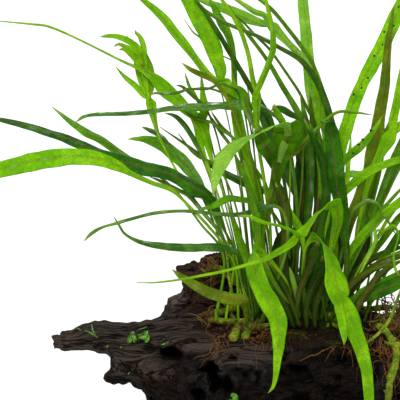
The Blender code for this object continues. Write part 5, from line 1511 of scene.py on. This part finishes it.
def curl(bm, path, width):
    """A small curled bit of leaf: a thin trough that arches over its line."""
    last = len(path) - 1
    made = bmesh.ops.create_grid(bm, x_segments=6, y_segments=last, size=1.0)
    for vert in made["verts"]:
        row = round((vert.co.y + 1) / 2 * last)
        side = vert.co.x
        along = (path[min(row + 1, last)] - path[max(row - 1, 0)]).normalized()
        out = (EYE - path[row]).normalized()
        across = along.cross(out).normalized()
        share = math.sin(math.pi * (row + 0.6) / (last + 1.2))
        rise = 0.9 * share * width * 0.6 + 0.35 * width * side * side
        vert.co = (path[row] + across * (side * width / 2 * (0.3 + 0.7 * share)) + out * (0.2 + rise)) * MM
    faces = list({face for vert in made["verts"] for face in vert.link_faces})
    bmesh.ops.solidify(bm, geom=faces, thickness=0.28 * MM)


# Inner fronds

# Broad blades round the crown, which hide the feet of the stalks: tint, how far each is rolled away
# from the eye (degrees), and points (across, up, width, depth) on the sheet in mm, from the foot.
CROWN = [
    ("olive", -18, [(-6.5, 59.5, 1.5, -18), (-6.5, 66.5, 2, -22),
        (-6, 72.5, 2.5, -26), (-5, 77.5, 3, -28), (-3, 82.5, 3.5, -29), (-0.5, 88.5, 4.5, -30),
        (1.5, 94, 5, -31), (3, 98.5, 4, -31), (4.5, 102.5, 1, -30)]),
    ("deep", 20, [(-1.5, 58, 1.5, -20), (-1.75, 66.5, 2.5, -25),
        (-1, 72.5, 3.5, -29), (0.5, 77, 4, -31), (3, 82, 5, -33), (5, 87, 4.5, -34), (6, 91.5, 2.5, -33),
        (6.5, 95, 0.5, -32)]),
    ("deep", -25, [(2.5, 58.5, 1.5, -18), (2.25, 65.5, 2.5, -21),
        (3, 71.5, 3.5, -24), (5, 77, 4, -26), (7, 82.5, 4, -27), (9, 88.5, 3, -27),
        (10.5, 94.5, 0.5, -26)]),
    ("deep", 22, [(-8, 58.5, 1.5, -18), (-10, 65, 2.5, -21), (-12.5, 71, 3, -24),
        (-15.5, 77.5, 3.5, -26), (-19, 84, 3.5, -27), (-22.5, 91, 2.5, -27), (-25, 97.5, 0.5, -26)]),
    ("olive", -20, [(-5, 59, 1.5, -19), (-8, 67.5, 2.5, -22), (-11, 74.5, 3, -24),
        (-14.5, 81, 3, -25), (-18, 87, 2, -25), (-21, 91.5, 0.5, -24)]),
    ("pale", 10, [(-5, 63.5, 1, -17), (-6.5, 71.5, 1.5, -18),
        (-7.5, 78.5, 2.5, -19), (-9, 84.5, 2.5, -19), (-10.25, 89, 0.5, -18)]),
    ("deep", 15, [(-5.5, 61.5, 2, -6), (-7.5, 70, 4, -6), (-9, 78.5, 5.5, -5),
        (-11, 87.5, 6.5, -4), (-12, 95.5, 6, -2), (-12.5, 102.5, 5, 0), (-13, 109.5, 2.5, 2),
        (-13.5, 114.5, 0.5, 3)]),
    ("deep", -20, [(-9, 63.5, 2, -7), (-11.5, 72.5, 4, -6), (-13.5, 80.5, 5, -4),
        (-15.5, 88.5, 5.5, -2), (-16.5, 96.5, 5, 0), (-15.5, 103.5, 3.5, 2), (-13, 108.5, 0.5, 3)]),
    ("deep", 12, [(-2.5, 61.5, 2, -8), (-3.5, 70.5, 4.5, -9), (-3.5, 78.5, 5.5, -9),
        (-2.5, 87.5, 6, -8), (-1.5, 95.5, 5.5, -7), (-1, 102.5, 4, -5), (-0.5, 109.5, 0.5, -4)]),
    ("deep", -16, [(4, 61.5, 2, -8), (6.5, 70, 4, -9), (9, 77.5, 5, -9),
        (11.5, 85, 5.5, -8), (14, 93.5, 6, -6), (15.5, 101.5, 6, -3), (16.5, 109.5, 5, 0),
        (17.5, 118.5, 3, 3), (18, 125.5, 0.5, 5)]),
    ("mid", 18, [(7, 61.5, 2, -6), (11, 69.5, 3.5, -5), (15.5, 77.5, 4.5, -3),
        (20, 86.5, 5, 0), (23, 95.5, 5, 3), (25, 104.5, 4, 6), (26.5, 113.5, 2.5, 9),
        (28, 120.5, 0.5, 11)]),
    ("mid", -24, [(-10.5, 62.5, 1.5, -10), (-14.5, 70.5, 2.5, -10),
        (-19, 78.5, 3.5, -9), (-22, 87.5, 4, -8), (-24, 96.5, 4, -6), (-25, 105.5, 3.5, -4),
        (-24.5, 113.5, 2.5, -2), (-23.5, 120.5, 0.5, 0)]),
    ("mid", 26, [(-13, 62.5, 1.5, -12), (-19, 70.5, 2.5, -13), (-25, 79.5, 3.5, -14),
        (-30, 89.5, 4, -14), (-34, 99.5, 4, -12), (-37, 108.5, 3, -10), (-39.5, 116.5, 0.5, -8)]),
    ("mid", 10, [(5.5, 62.5, 1.5, -12), (8, 72.5, 3, -13), (10.5, 82.5, 4, -14),
        (12, 92.5, 4, -14), (12, 101.5, 4, -12), (11, 110.5, 3, -10), (9.5, 118.5, 0.5, -8)]),
    ("olive", -30, [(10, 62, 1.5, -18), (13.5, 69.5, 2.5, -22), (18, 77, 3, -26),
        (23.5, 83, 3, -30), (30, 87, 2.5, -33), (37, 89.5, 1.5, -35), (44, 91.5, 0.5, -36)]),
    ("mid", -35, [(12, 61.5, 1.5, -20), (16, 67.5, 2.5, -25), (21, 72.5, 3, -29),
        (27, 76.5, 3, -32), (34, 80, 2, -34), (42, 82.5, 0.5, -35)]),
]

# Slim and broken fronds on the left, in the middle and on the right, listed the same way.
LEFT_SPRIGS = [
    ("wet", 30, [(-31, 63.5, 0.9, -8), (-35, 77.5, 0.9, -4), (-41, 102.5, 0.9, 4), (-48, 127.5, 1.1, 8),
        (-53.5, 144, 2, 10), (-57, 151, 2.5, 10), (-60, 156, 2.5, 10), (-63.5, 161, 2.5, 9),
        (-67.5, 164.5, 2, 8), (-72.5, 166, 0.5, 7)]),
    ("bright", -22, [(-30, 63.5, 0.9, -9), (-33.5, 77.5, 0.9, -5), (-39, 102.5, 0.9, 2),
        (-46, 125, 1.1, 7), (-50.5, 137.5, 2, 9), (-53.5, 145, 3, 10), (-55.5, 152.5, 3.25, 10),
        (-57, 159, 2.5, 10), (-60, 164, 0.5, 9)]),
    ("wet", -25, [(-29, 64.5, 0.9, -10), (-33, 77.5, 0.9, -6), (-39, 93.5, 0.9, -2),
        (-45, 105.5, 1.5, 2), (-48.5, 110.5, 2, 3), (-52.5, 115, 2, 4), (-60, 124, 2.25, 6),
        (-65, 127, 2, 7), (-75, 132, 1.5, 9), (-80, 134, 0.4, 10)]),
    ("dark", 35, [(-28, 64.5, 0.9, -11), (-32, 87.5, 0.9, -4), (-36, 115, 0.9, 4), (-42, 132.5, 1.1, 8),
        (-46, 138.5, 1.5, 9), (-52, 142.5, 1.75, 10), (-56, 144.5, 1.5, 10), (-60, 148, 1.25, 10),
        (-66, 156, 0.5, 10)]),
    ("dark", -15, [(-27, 65.5, 0.9, -10), (-30, 87.5, 0.9, -4), (-33, 112.5, 0.9, 2),
        (-34.5, 132.5, 0.9, 5), (-35, 147.5, 1, 6), (-39, 154, 1.5, 7), (-44, 159, 1.5, 8),
        (-47, 163, 1.3, 8), (-49.5, 167, 0.4, 8)]),
    ("dark", 20, [(-26, 65.5, 0.9, -8), (-30, 92.5, 0.9, -1), (-33, 120, 0.9, 5), (-36, 140, 1, 8),
        (-39, 148.5, 1.5, 9), (-44, 155.5, 1.7, 10), (-48, 161.5, 1.5, 10), (-51.5, 166.5, 0.5, 10)]),
    ("wet", 50, [(-26, 66.5, 0.9, -7), (-29, 102.5, 0.9, 2), (-32, 132.5, 0.9, 6), (-35, 147.5, 0.9, 7),
        (-39, 154, 1.2, 7), (-44, 157.5, 1.3, 8), (-48.5, 161, 1.2, 8), (-53.5, 162.5, 1.1, 9),
        (-58.5, 164, 1, 9), (-63, 167, 0.4, 9)]),
    ("wet", 10, [(-24, 66.5, 0.9, -4), (-26, 102.5, 0.9, 6), (-29, 137.5, 0.9, 12),
        (-32, 162.5, 0.9, 12), (-36, 176, 1.1, 8), (-40, 179, 1.3, 6), (-44, 180.5, 1.3, 5),
        (-47.5, 179.5, 1.3, 4), (-51.5, 178, 1.3, 3), (-57, 178, 1.3, 2), (-61, 178, 1.3, 1),
        (-65, 176.5, 1.5, 0), (-69, 176, 1.7, -1), (-72.5, 175.5, 1.5, -1), (-77, 176, 1.3, -1),
        (-80, 175, 0.4, -2)]),
    ("dark", -10, [(-24, 65.5, 0.9, -2), (-25, 102.5, 0.9, 7), (-27, 137.5, 0.9, 13),
        (-30, 160, 0.9, 13), (-34, 170, 1, 11), (-39, 174, 1.2, 9), (-42.5, 175.5, 1.2, 8),
        (-47.5, 177.5, 1.1, 7), (-52.5, 178.5, 1, 6), (-60, 178, 1, 5), (-64.5, 179, 0.4, 4)]),
    ("dark", 25, [(-30, 67.5, 0.8, -1), (-35, 97.5, 0.8, 8), (-41, 127.5, 0.8, 14),
        (-46, 152.5, 0.9, 15), (-51, 166.5, 1.2, 14), (-55, 171.5, 1.8, 13), (-59, 175, 1.8, 12),
        (-63.5, 179, 1.5, 12), (-67, 180, 0.4, 12)]),
    ("dark", 15, [(-30.5, 67.5, 0.75, 0), (-36, 97.5, 0.75, 9), (-43, 127.5, 0.75, 15),
        (-51, 155, 0.9, 16), (-57, 166.5, 1.2, 16), (-60, 168.5, 1.2, 16), (-62, 171, 1.1, 16),
        (-65, 175, 0.4, 16)]),
    ("mid", -30, [(-31.5, 68.5, 0.75, 1), (-37, 97.5, 0.75, 10), (-44, 127.5, 0.75, 16),
        (-51, 157.5, 0.9, 18), (-57, 174, 1.5, 18), (-60, 178.5, 1.5, 18), (-61.5, 182.5, 1.3, 18),
        (-62.5, 186, 0.4, 18)]),
    ("pale", 0, [(-25, 67.5, 0.65, 2), (-26, 102.5, 0.65, 10), (-27, 132.5, 0.65, 16),
        (-29, 162.5, 0.7, 20), (-32, 182.5, 0.75, 22), (-36, 190.5, 0.85, 22), (-41.5, 193.5, 0.8, 22),
        (-46, 195.5, 0.3, 22)]),
    ("pale", 15, [(-30, 72.5, 0.65, 6), (-33, 112.5, 0.65, 16), (-39, 152.5, 0.7, 24),
        (-46, 182.5, 0.8, 28), (-53.5, 201.5, 1, 30), (-58.5, 206.5, 0.9, 30), (-63, 213, 0.3, 30)]),
    ("bright", 22, [(-80, 172.5, 1, 14), (-82, 181.5, 2.5, 14), (-84, 191.5, 4.5, 13),
        (-85.5, 196.5, 5, 12), (-88.5, 200.5, 3.5, 11), (-92.5, 203, 3, 10), (-97.5, 204.5, 2.5, 9),
        (-102, 204.5, 1.7, 8), (-105, 204, 0.7, 8)]),
    ("bright", -10, [(-83.5, 189.5, 1.5, 13), (-86, 194, 3.5, 12), (-89.5, 197.5, 3, 11),
        (-93, 199.5, 2, 10), (-96, 200.5, 1.5, 9), (-98, 199, 0.5, 9)]),
    ("bright", 5, [(-84, 186.5, 1.5, 13), (-87, 192.5, 3, 12), (-90, 195.5, 2.5, 11), (-93, 198, 2, 10),
        (-95.5, 197.5, 0.5, 9)]),
    ("bright", -25, [(-81, 176.5, 1.5, 14), (-82, 185, 2.5, 14), (-83, 192.5, 3, 13),
        (-83, 198.5, 2.5, 12), (-84.5, 203.5, 2, 11), (-87, 206, 1.5, 10), (-87.5, 207.5, 0.6, 10)]),
]
MIDDLE_SPRIGS = [
    ("olive", 12, [(-13.5, 63.5, 1, -14), (-14, 77.5, 1.2, -18), (-14.5, 91.5, 2, -20),
        (-12.5, 101, 4, -20), (-11.5, 110, 5.5, -20), (-12.5, 118.5, 6, -20), (-15, 126.5, 5, -20),
        (-17.5, 133.5, 2.5, -20), (-19, 139.5, 0.5, -19)]),
    ("dark", -18, [(-6, 64.5, 1, -4), (-5, 82.5, 1.5, -2), (-3, 102.5, 3, 2), (-1, 117.5, 4, 6),
        (0, 132.5, 4.5, 9), (-0.5, 147.5, 4.5, 12), (-2, 160, 3.5, 13), (-3.5, 168.5, 2, 14),
        (-5, 175, 0.5, 15)]),
    ("deep", 20, [(-11, 66.5, 1, 2), (-8, 87.5, 1.5, 5), (-5, 107.5, 4, 8), (-3.5, 122.5, 5, 10),
        (-3.5, 135, 5, 12), (-5, 145, 4.5, 13), (-7, 152.5, 2.5, 14), (-9, 158.5, 0.5, 14)]),
    ("deep", -12, [(-7, 66.5, 1, 2), (-2, 87.5, 1.5, 5), (2, 107.5, 3.5, 8), (4, 122.5, 4, 11),
        (4, 135, 4, 13), (3, 147.5, 3.5, 15), (1.5, 158.5, 3, 16), (0.5, 168.5, 2, 17),
        (0, 176.5, 0.5, 18)]),
    ("mid", 24, [(-3, 65.5, 1, 0), (1, 92.5, 1.5, 6), (4, 115, 2.5, 10), (6, 130, 3.5, 12),
        (5, 142.5, 3.5, 13), (2.5, 152.5, 3, 14), (-1, 161.5, 2, 15), (-4, 168.5, 0.5, 16)]),
    ("bright", -20, [(-2, 67.5, 0.8, 8), (1.5, 102.5, 0.9, 20), (4, 132.5, 1.2, 26), (3.5, 145, 2.5, 27),
        (2.5, 152.5, 3.5, 27), (3, 160, 3.5, 27), (4, 168.5, 2.5, 28), (5, 175, 0.5, 28)]),
    ("bright", 16, [(-1, 67.5, 0.8, 6), (4, 97.5, 0.9, 18), (7, 127.5, 1.1, 24), (7.5, 147.5, 1.5, 27),
        (6.5, 162.5, 3.5, 28), (5, 172.5, 4.5, 28), (3, 181.5, 4, 28), (1, 189.5, 3, 29),
        (-0.5, 197.5, 1.5, 30), (-1.5, 202.5, 0.5, 30)]),
    ("dark", -35, [(0, 67.5, 0.9, 4), (3, 92.5, 0.9, 10), (6, 117.5, 1, 14), (7, 142.5, 1.1, 16),
        (4, 157.5, 1.5, 17), (-1, 167.5, 1.5, 17), (-5.5, 176.5, 1.4, 17), (-11.5, 185.5, 1.3, 17),
        (-20, 197.5, 1.25, 17), (-27, 204.5, 1.2, 17), (-33.5, 211.5, 1, 17), (-39, 216, 0.4, 17)]),
    ("wet", 20, [(1, 66.5, 0.8, -2), (6, 97.5, 0.9, -2), (10, 127.5, 1.2, -2), (12, 147.5, 2, -4),
        (12.5, 155, 3.5, -6), (10.5, 159.5, 3, -9), (8, 161.5, 2.5, -11), (7, 157.5, 2, -13),
        (9.5, 153.5, 0.5, -14)]),
    ("dark", 45, [(-11, 69.5, 0.8, -4), (-7, 102.5, 0.8, -2), (-4, 132.5, 0.8, 0), (-3.5, 157.5, 1, 0),
        (-5.5, 163, 2, -1), (-9.5, 165.5, 3, -2), (-14, 168, 3.25, -4), (-17.5, 168.5, 2, -6),
        (-19.5, 167, 0.5, -7)]),
    ("bright", -30, [(-13, 69.5, 0.8, -3), (-11, 102.5, 0.8, 0), (-10, 132.5, 0.8, 0),
        (-10, 152.5, 1, -2), (-13, 160.5, 2.5, -4), (-16, 165.5, 3, -6), (-18, 169, 2, -8),
        (-17.5, 170.5, 0.5, -9)]),
    ("mid", -20, [(-24, 72.5, 1, -6), (-24, 87.5, 2, -6), (-26, 100, 3.5, -6), (-27, 110, 4.5, -6),
        (-27, 120, 4, -5), (-29, 128.5, 3, -4), (-31.5, 136.5, 1.5, -3), (-33.5, 142.5, 0.5, -2)]),
    ("bright", 18, [(-20, 72.5, 1, -2), (-22, 91.5, 1.2, 2), (-24, 110, 2, 5), (-26, 125, 4, 7),
        (-30, 136.5, 4.5, 8), (-33.5, 145, 4, 9), (-36, 152.5, 3, 9), (-38, 160, 1.5, 9),
        (-39.5, 166.5, 0.5, 9)]),
    ("bright", -14, [(-18, 72.5, 0.9, 4), (-20, 97.5, 1, 12), (-23, 117.5, 1.5, 16),
        (-26, 132.5, 2.5, 18), (-30, 143.5, 3, 19), (-33, 152.5, 3.5, 20), (-36, 162.5, 4, 20),
        (-37, 172.5, 4, 20), (-38, 180, 2.5, 20), (-39, 187.5, 0.5, 20)]),
]
RIGHT_SPRIGS = [
    ("bright", -30, [(10, 63.5, 0.9, 0), (13, 87.5, 0.9, 4), (15.5, 112.5, 1, 8), (16.5, 127.5, 2, 9),
        (18.5, 132.5, 2.5, 10), (19, 140, 2.25, 10), (20, 148.5, 1.5, 10), (20.5, 155, 0.4, 10)]),
    ("mid", -35, [(11, 64.5, 0.9, -6), (18, 82.5, 0.9, -8), (25, 100, 1, -10), (32, 113.5, 1.5, -12),
        (38.5, 120.5, 1.7, -13), (45, 127.5, 1.3, -14), (50, 131.5, 0.4, -15)]),
    ("wet", 20, [(10, 63.5, 0.9, -8), (14, 87.5, 0.9, -14), (18, 105, 1, -20), (21, 116, 1.5, -24),
        (25, 120, 1.9, -26), (28.5, 122, 2.2, -27), (32.5, 121, 2, -28), (35, 119, 1.5, -29),
        (35.5, 116, 0.4, -30)]),
    ("wet", -15, [(11.5, 64.5, 0.8, -10), (18, 82.5, 0.8, -16), (25, 97.5, 0.9, -22),
        (31, 108.5, 1, -26), (36, 114.5, 1.2, -28), (39, 112, 1.3, -29), (41, 108.5, 1, -30),
        (43.5, 104.5, 0.4, -30)]),
    ("pale", 8, [(15, 72.5, 0.9, -22), (23, 82.5, 0.9, -28), (28, 91.5, 1.5, -32), (31, 97.5, 2, -34),
        (33, 102.5, 2, -36), (32.5, 106, 1.7, -36), (34, 107.5, 1.3, -37), (36, 107, 0.4, -37)]),
    ("dark", -22, [(13, 65.5, 0.9, -12), (22.5, 77.5, 1, -18), (32.5, 89.5, 2, -22), (40, 98.5, 4, -25),
        (45, 104.5, 5, -27), (51, 110.5, 3, -28), (55, 114.5, 0.4, -29)]),
    ("olive", 28, [(20, 61.5, 1, -34), (22.5, 66, 2.5, -36), (26, 72.5, 3.5, -38), (29.5, 78, 3.5, -39),
        (35, 85, 3, -40), (42.5, 90.5, 2, -41), (49, 93.5, 0.4, -42)]),
    ("bright", 15, [(14, 66.5, 0.9, -16), (23, 85, 0.9, -24), (34, 103.5, 1.2, -32), (41, 109, 2, -37),
        (44, 104.5, 3, -40), (41.5, 95, 3, -43), (42.5, 88.5, 1.5, -45), (44.5, 84.5, 0.4, -46)]),
    ("olive", -25, [(12, 63.5, 1, -16), (17, 72.5, 2, -22), (22.5, 80.5, 3.5, -26), (30, 87.5, 4, -29),
        (38, 92, 3.5, -31), (46, 94.5, 2, -32), (52, 95.5, 0.4, -33)]),
    ("olive", 30, [(13, 66.5, 1, -8), (18, 78.5, 2, -12), (24, 87.5, 3, -15), (32, 93.5, 3, -17),
        (41, 97.5, 2.5, -18), (51, 100.5, 0.4, -19)]),
    ("mid", -28, [(15, 63.5, 1, -22), (20, 70.5, 2.5, -28), (26, 76, 4.5, -32), (33, 79, 5.5, -35),
        (41, 83, 4.5, -37), (48, 88.5, 2, -38), (52, 93.5, 0.4, -38)]),
    ("deep", 18, [(9, 65.5, 1, 0), (15, 76.5, 3, -2), (21, 85, 4.5, -4), (26, 93.5, 4.5, -4),
        (28.5, 102.5, 3.5, -3), (29, 109.5, 2, -2), (29, 115.5, 0.4, 0)]),
    ("bright", -12, [(10, 66.5, 1, 6), (17, 80.5, 2, 8), (22, 91.5, 3.5, 9), (24, 102.5, 4, 10),
        (25, 111.5, 3.5, 11), (27, 120.5, 2.5, 12), (29, 128.5, 0.4, 13)]),
    ("mid", 10, [(11, 68.5, 0.9, 10), (18, 86.5, 1.5, 14), (23, 100.5, 3, 17), (27, 111.5, 4, 19),
        (31, 124.5, 4, 21), (34, 137.5, 4, 23), (36, 148.5, 3.5, 25), (39, 158.5, 2.5, 27),
        (43, 167.5, 0.4, 29)]),
    ("mid", -32, [(13, 69.5, 0.9, 8), (20, 87.5, 1.2, 12), (27, 104.5, 1.8, 15), (34, 122.5, 2.5, 18),
        (39, 135.5, 3.5, 21), (44, 147.5, 4, 23), (49, 158.5, 3, 25), (53, 168.5, 0.4, 27)]),
]


def build_small_fronds(name, rows, finishes):
    """Blades that have no solid of their own, one piece for each tint."""
    pieces = {}
    for seed, (tint, roll, points) in enumerate(rows):
        if tint not in pieces:
            pieces[tint] = BladeMesh(f"{name}_{tint}", len(name) + seed)
        run = [Vector((*from_sheet(a, h, depth), width)) for a, h, width, depth in points]
        frames, _ = blade_frames(tapered(run), math.radians(roll), least=2 * FINEST_HALF)
        lengths = row_lengths(frames, 0.0)
        pieces[tint].seed += Vector((3.1, 1.7, 0.9))
        pieces[tint].strip(frames, 6, 0.0, lengths, lambda at, end=lengths[-1]: end - at)
    for tint, blade in pieces.items():
        made = blade.finish(finishes[tint])
        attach(made, "root")


# Dark spore dots and the black fringe: a frond, the size of its dots (mm) and their places on the sheet.
FRINGE = [(-2, 189), (1, 185), (4, 181), (6, 176.5), (8, 171.5), (9.5, 166.5)]
DOTS = [
    ("frond_right_dotted", 0.75, [(41.5, 214.5), (41.8, 209.5), (37.2, 206.5), (32.2, 194.5), (29, 183.5),
                                  (22, 175.2), (44.5, 219), (36.2, 200), (25.8, 178.5), (19.8, 165.5)]),
    ("frond_right_dotted_short", 0.8, [(26, 153.5), (24.3, 150.3), (29.5, 158), (21.5, 146)]),
]


def build_dots(material, trees):
    """Ripe dark dots on the blades, and the row of them that fringes the tall frond's margin."""
    bm = bmesh.new()
    rows = [(name, size, places) for name, size, places in DOTS if name in trees]
    fringe = smooth_curve([Vector((*p, 0, 0)) for p in FRINGE], 30)
    rows.append(("frond_top_fringed", 0.55, [(p.x, p.y) for p in fringe]))
    for name, size, places in rows:
        tree = trees.get(name)
        if tree is None:
            continue
        for across, up in places:
            aim = (from_sheet(across, up, 0) - EYE).normalized()
            spot, normal, _, _ = tree.ray_cast(EYE * MM, aim)
            if spot is None:
                nearest = min((tree.find_nearest((EYE + aim * (EYE_DISTANCE + step * 3)) * MM)
                               for step in range(-26, 26)), key=lambda found: found[3])
                spot, normal = nearest[0], nearest[1]
            ball = bmesh.ops.create_icosphere(bm, subdivisions=1, radius=size * MM)
            turn = Vector((0, 0, 1)).rotation_difference(normal).to_matrix()
            for vert in ball["verts"]:
                vert.co.z *= 0.7
                vert.co = spot + turn @ vert.co
    return finish_piece("spore_dots", bm, material)


# Stems that hang free of the clump: radius and places on the sheet with their depth, mm.
HANGING_STEMS = [
    (0.75, [(-42, 97, -16), (-41, 90, -17), (-40.5, 84, -17), (-39, 76, -16), (-38.5, 68, -15)]),
    (0.85, [(46, 79, -44), (42.5, 69.5, -52), (40, 63, -56), (35, 56.5, -60), (31, 53, -62), (28, 51, -63)]),
    (0.8, [(37.5, 51.5, -60), (41, 50.5, -61), (46, 49.5, -60)]),
]


def build_hanging_stems(material):
    bm = bmesh.new()
    for radius, points in HANGING_STEMS:
        line = smooth_curve([Vector((*from_sheet(*p), 0)) for p in points], 24)
        radii = [radius * (0.6 + 0.4 * math.sin(math.pi * (i + 1) / 26)) for i in range(len(line))]
        rope(bm, [p.to_3d() for p in line], radii, 8)
    return finish_piece("hanging_stems", bm, material)


# Stage

def build_stage():
    bm = bmesh.new()
    bmesh.ops.create_grid(bm, x_segments=1, y_segments=1, size=6.0)
    mesh = bpy.data.meshes.new("floor")
    bm.to_mesh(mesh)
    bm.free()
    mesh.materials.append(floor_finish())
    floor = bpy.data.objects.new("floor", mesh)
    bpy.context.scene.collection.objects.link(floor)
    floor.location.z = CAD_BOX[0][2] - 0.0005


STUDIO_FILL = 0.30
OVERHEAD = 2.5
BEHIND = 1.6
FRONT = 0.8


def sun(name, strength, spread, toward):
    light = bpy.data.lights.new(name, "SUN")
    light.energy = strength
    light.angle = math.radians(spread)
    made = bpy.data.objects.new(name, light)
    bpy.context.scene.collection.objects.link(made)
    made.rotation_euler = Vector(toward).to_track_quat("-Z", "Y").to_euler()


def light_and_look():
    world = bpy.data.worlds.new("studio")
    world.use_nodes = True
    background = world.node_tree.nodes["Background"]
    background.inputs["Color"].default_value = (1.0, 1.0, 1.0, 1.0)
    nodes = world.node_tree.nodes
    seen = nodes.new("ShaderNodeLightPath")
    strength = nodes.new("ShaderNodeMath")
    strength.operation = "MULTIPLY_ADD"
    strength.inputs[1].default_value = 1.0 - STUDIO_FILL
    strength.inputs[2].default_value = STUDIO_FILL
    world.node_tree.links.new(seen.outputs["Is Camera Ray"], strength.inputs[0])
    world.node_tree.links.new(strength.outputs[0], background.inputs["Strength"])
    bpy.context.scene.world = world
    sun("overhead softbox", OVERHEAD, 36, (0.25, 0.65, -1.0))
    sun("front softbox", FRONT, 24, (0.15, 0.88, -0.45))
    sun("back light", BEHIND, 40, (-0.20, -0.75, -0.60))
    camera = bpy.data.cameras.new("camera")
    camera.lens = LENS
    camera.sensor_width = SENSOR
    made = bpy.data.objects.new("camera", camera)
    bpy.context.scene.collection.objects.link(made)
    made.location = EYE * MM
    made.rotation_euler = SIGHT.to_track_quat("-Z", "Y").to_euler()
    bpy.context.scene.camera = made
    bpy.context.scene.view_settings.view_transform = "Standard"


# Building it all

def build():
    leaves = {tint: leaf_finish(f"{tint} blade", tint) for tint in LEAF_TINTS}
    wood = build_driftwood(wood_finish())
    felt = build_felt(felt_finish())
    rhizome = rhizome_finish()
    build_rhizomes(rhizome, [wood, felt])
    build_hanging_stems(rhizome)
    roots = root_finish()
    noise.seed_set(11)
    build_roots(roots, [wood, felt])
    build_tangles(roots)
    crumbs = crumb_finish()
    build_wood_bits({"root": roots, "moss": crumbs, "leaf": crumbs}, wood)
    trees = {}
    for seed, frond in enumerate(FRONDS):
        webbed = frond.name == WEBBED
        leaf = leaves["ribbed" if webbed else frond.tint]
        made = fine_frond(frond, solid_setting(frond), seed, leaf, arch_material=webbed and leaves["pale"])
        trees[frond.name] = BVHTree.FromPolygons([v.co for v in made.data.vertices],
                                                 [p.vertices for p in made.data.polygons])
        made.name = f"{frond.name}_blade"
        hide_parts(frond.name)
        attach(made, "root")
    build_dots(dot_finish(), trees)
    build_small_fronds("crown", CROWN, leaves)
    build_small_fronds("left_sprigs", LEFT_SPRIGS, leaves)
    build_small_fronds("middle_sprigs", MIDDLE_SPRIGS, leaves)
    build_small_fronds("right_sprigs", RIGHT_SPRIGS, leaves)
    build_stage()
    light_and_look()


build()
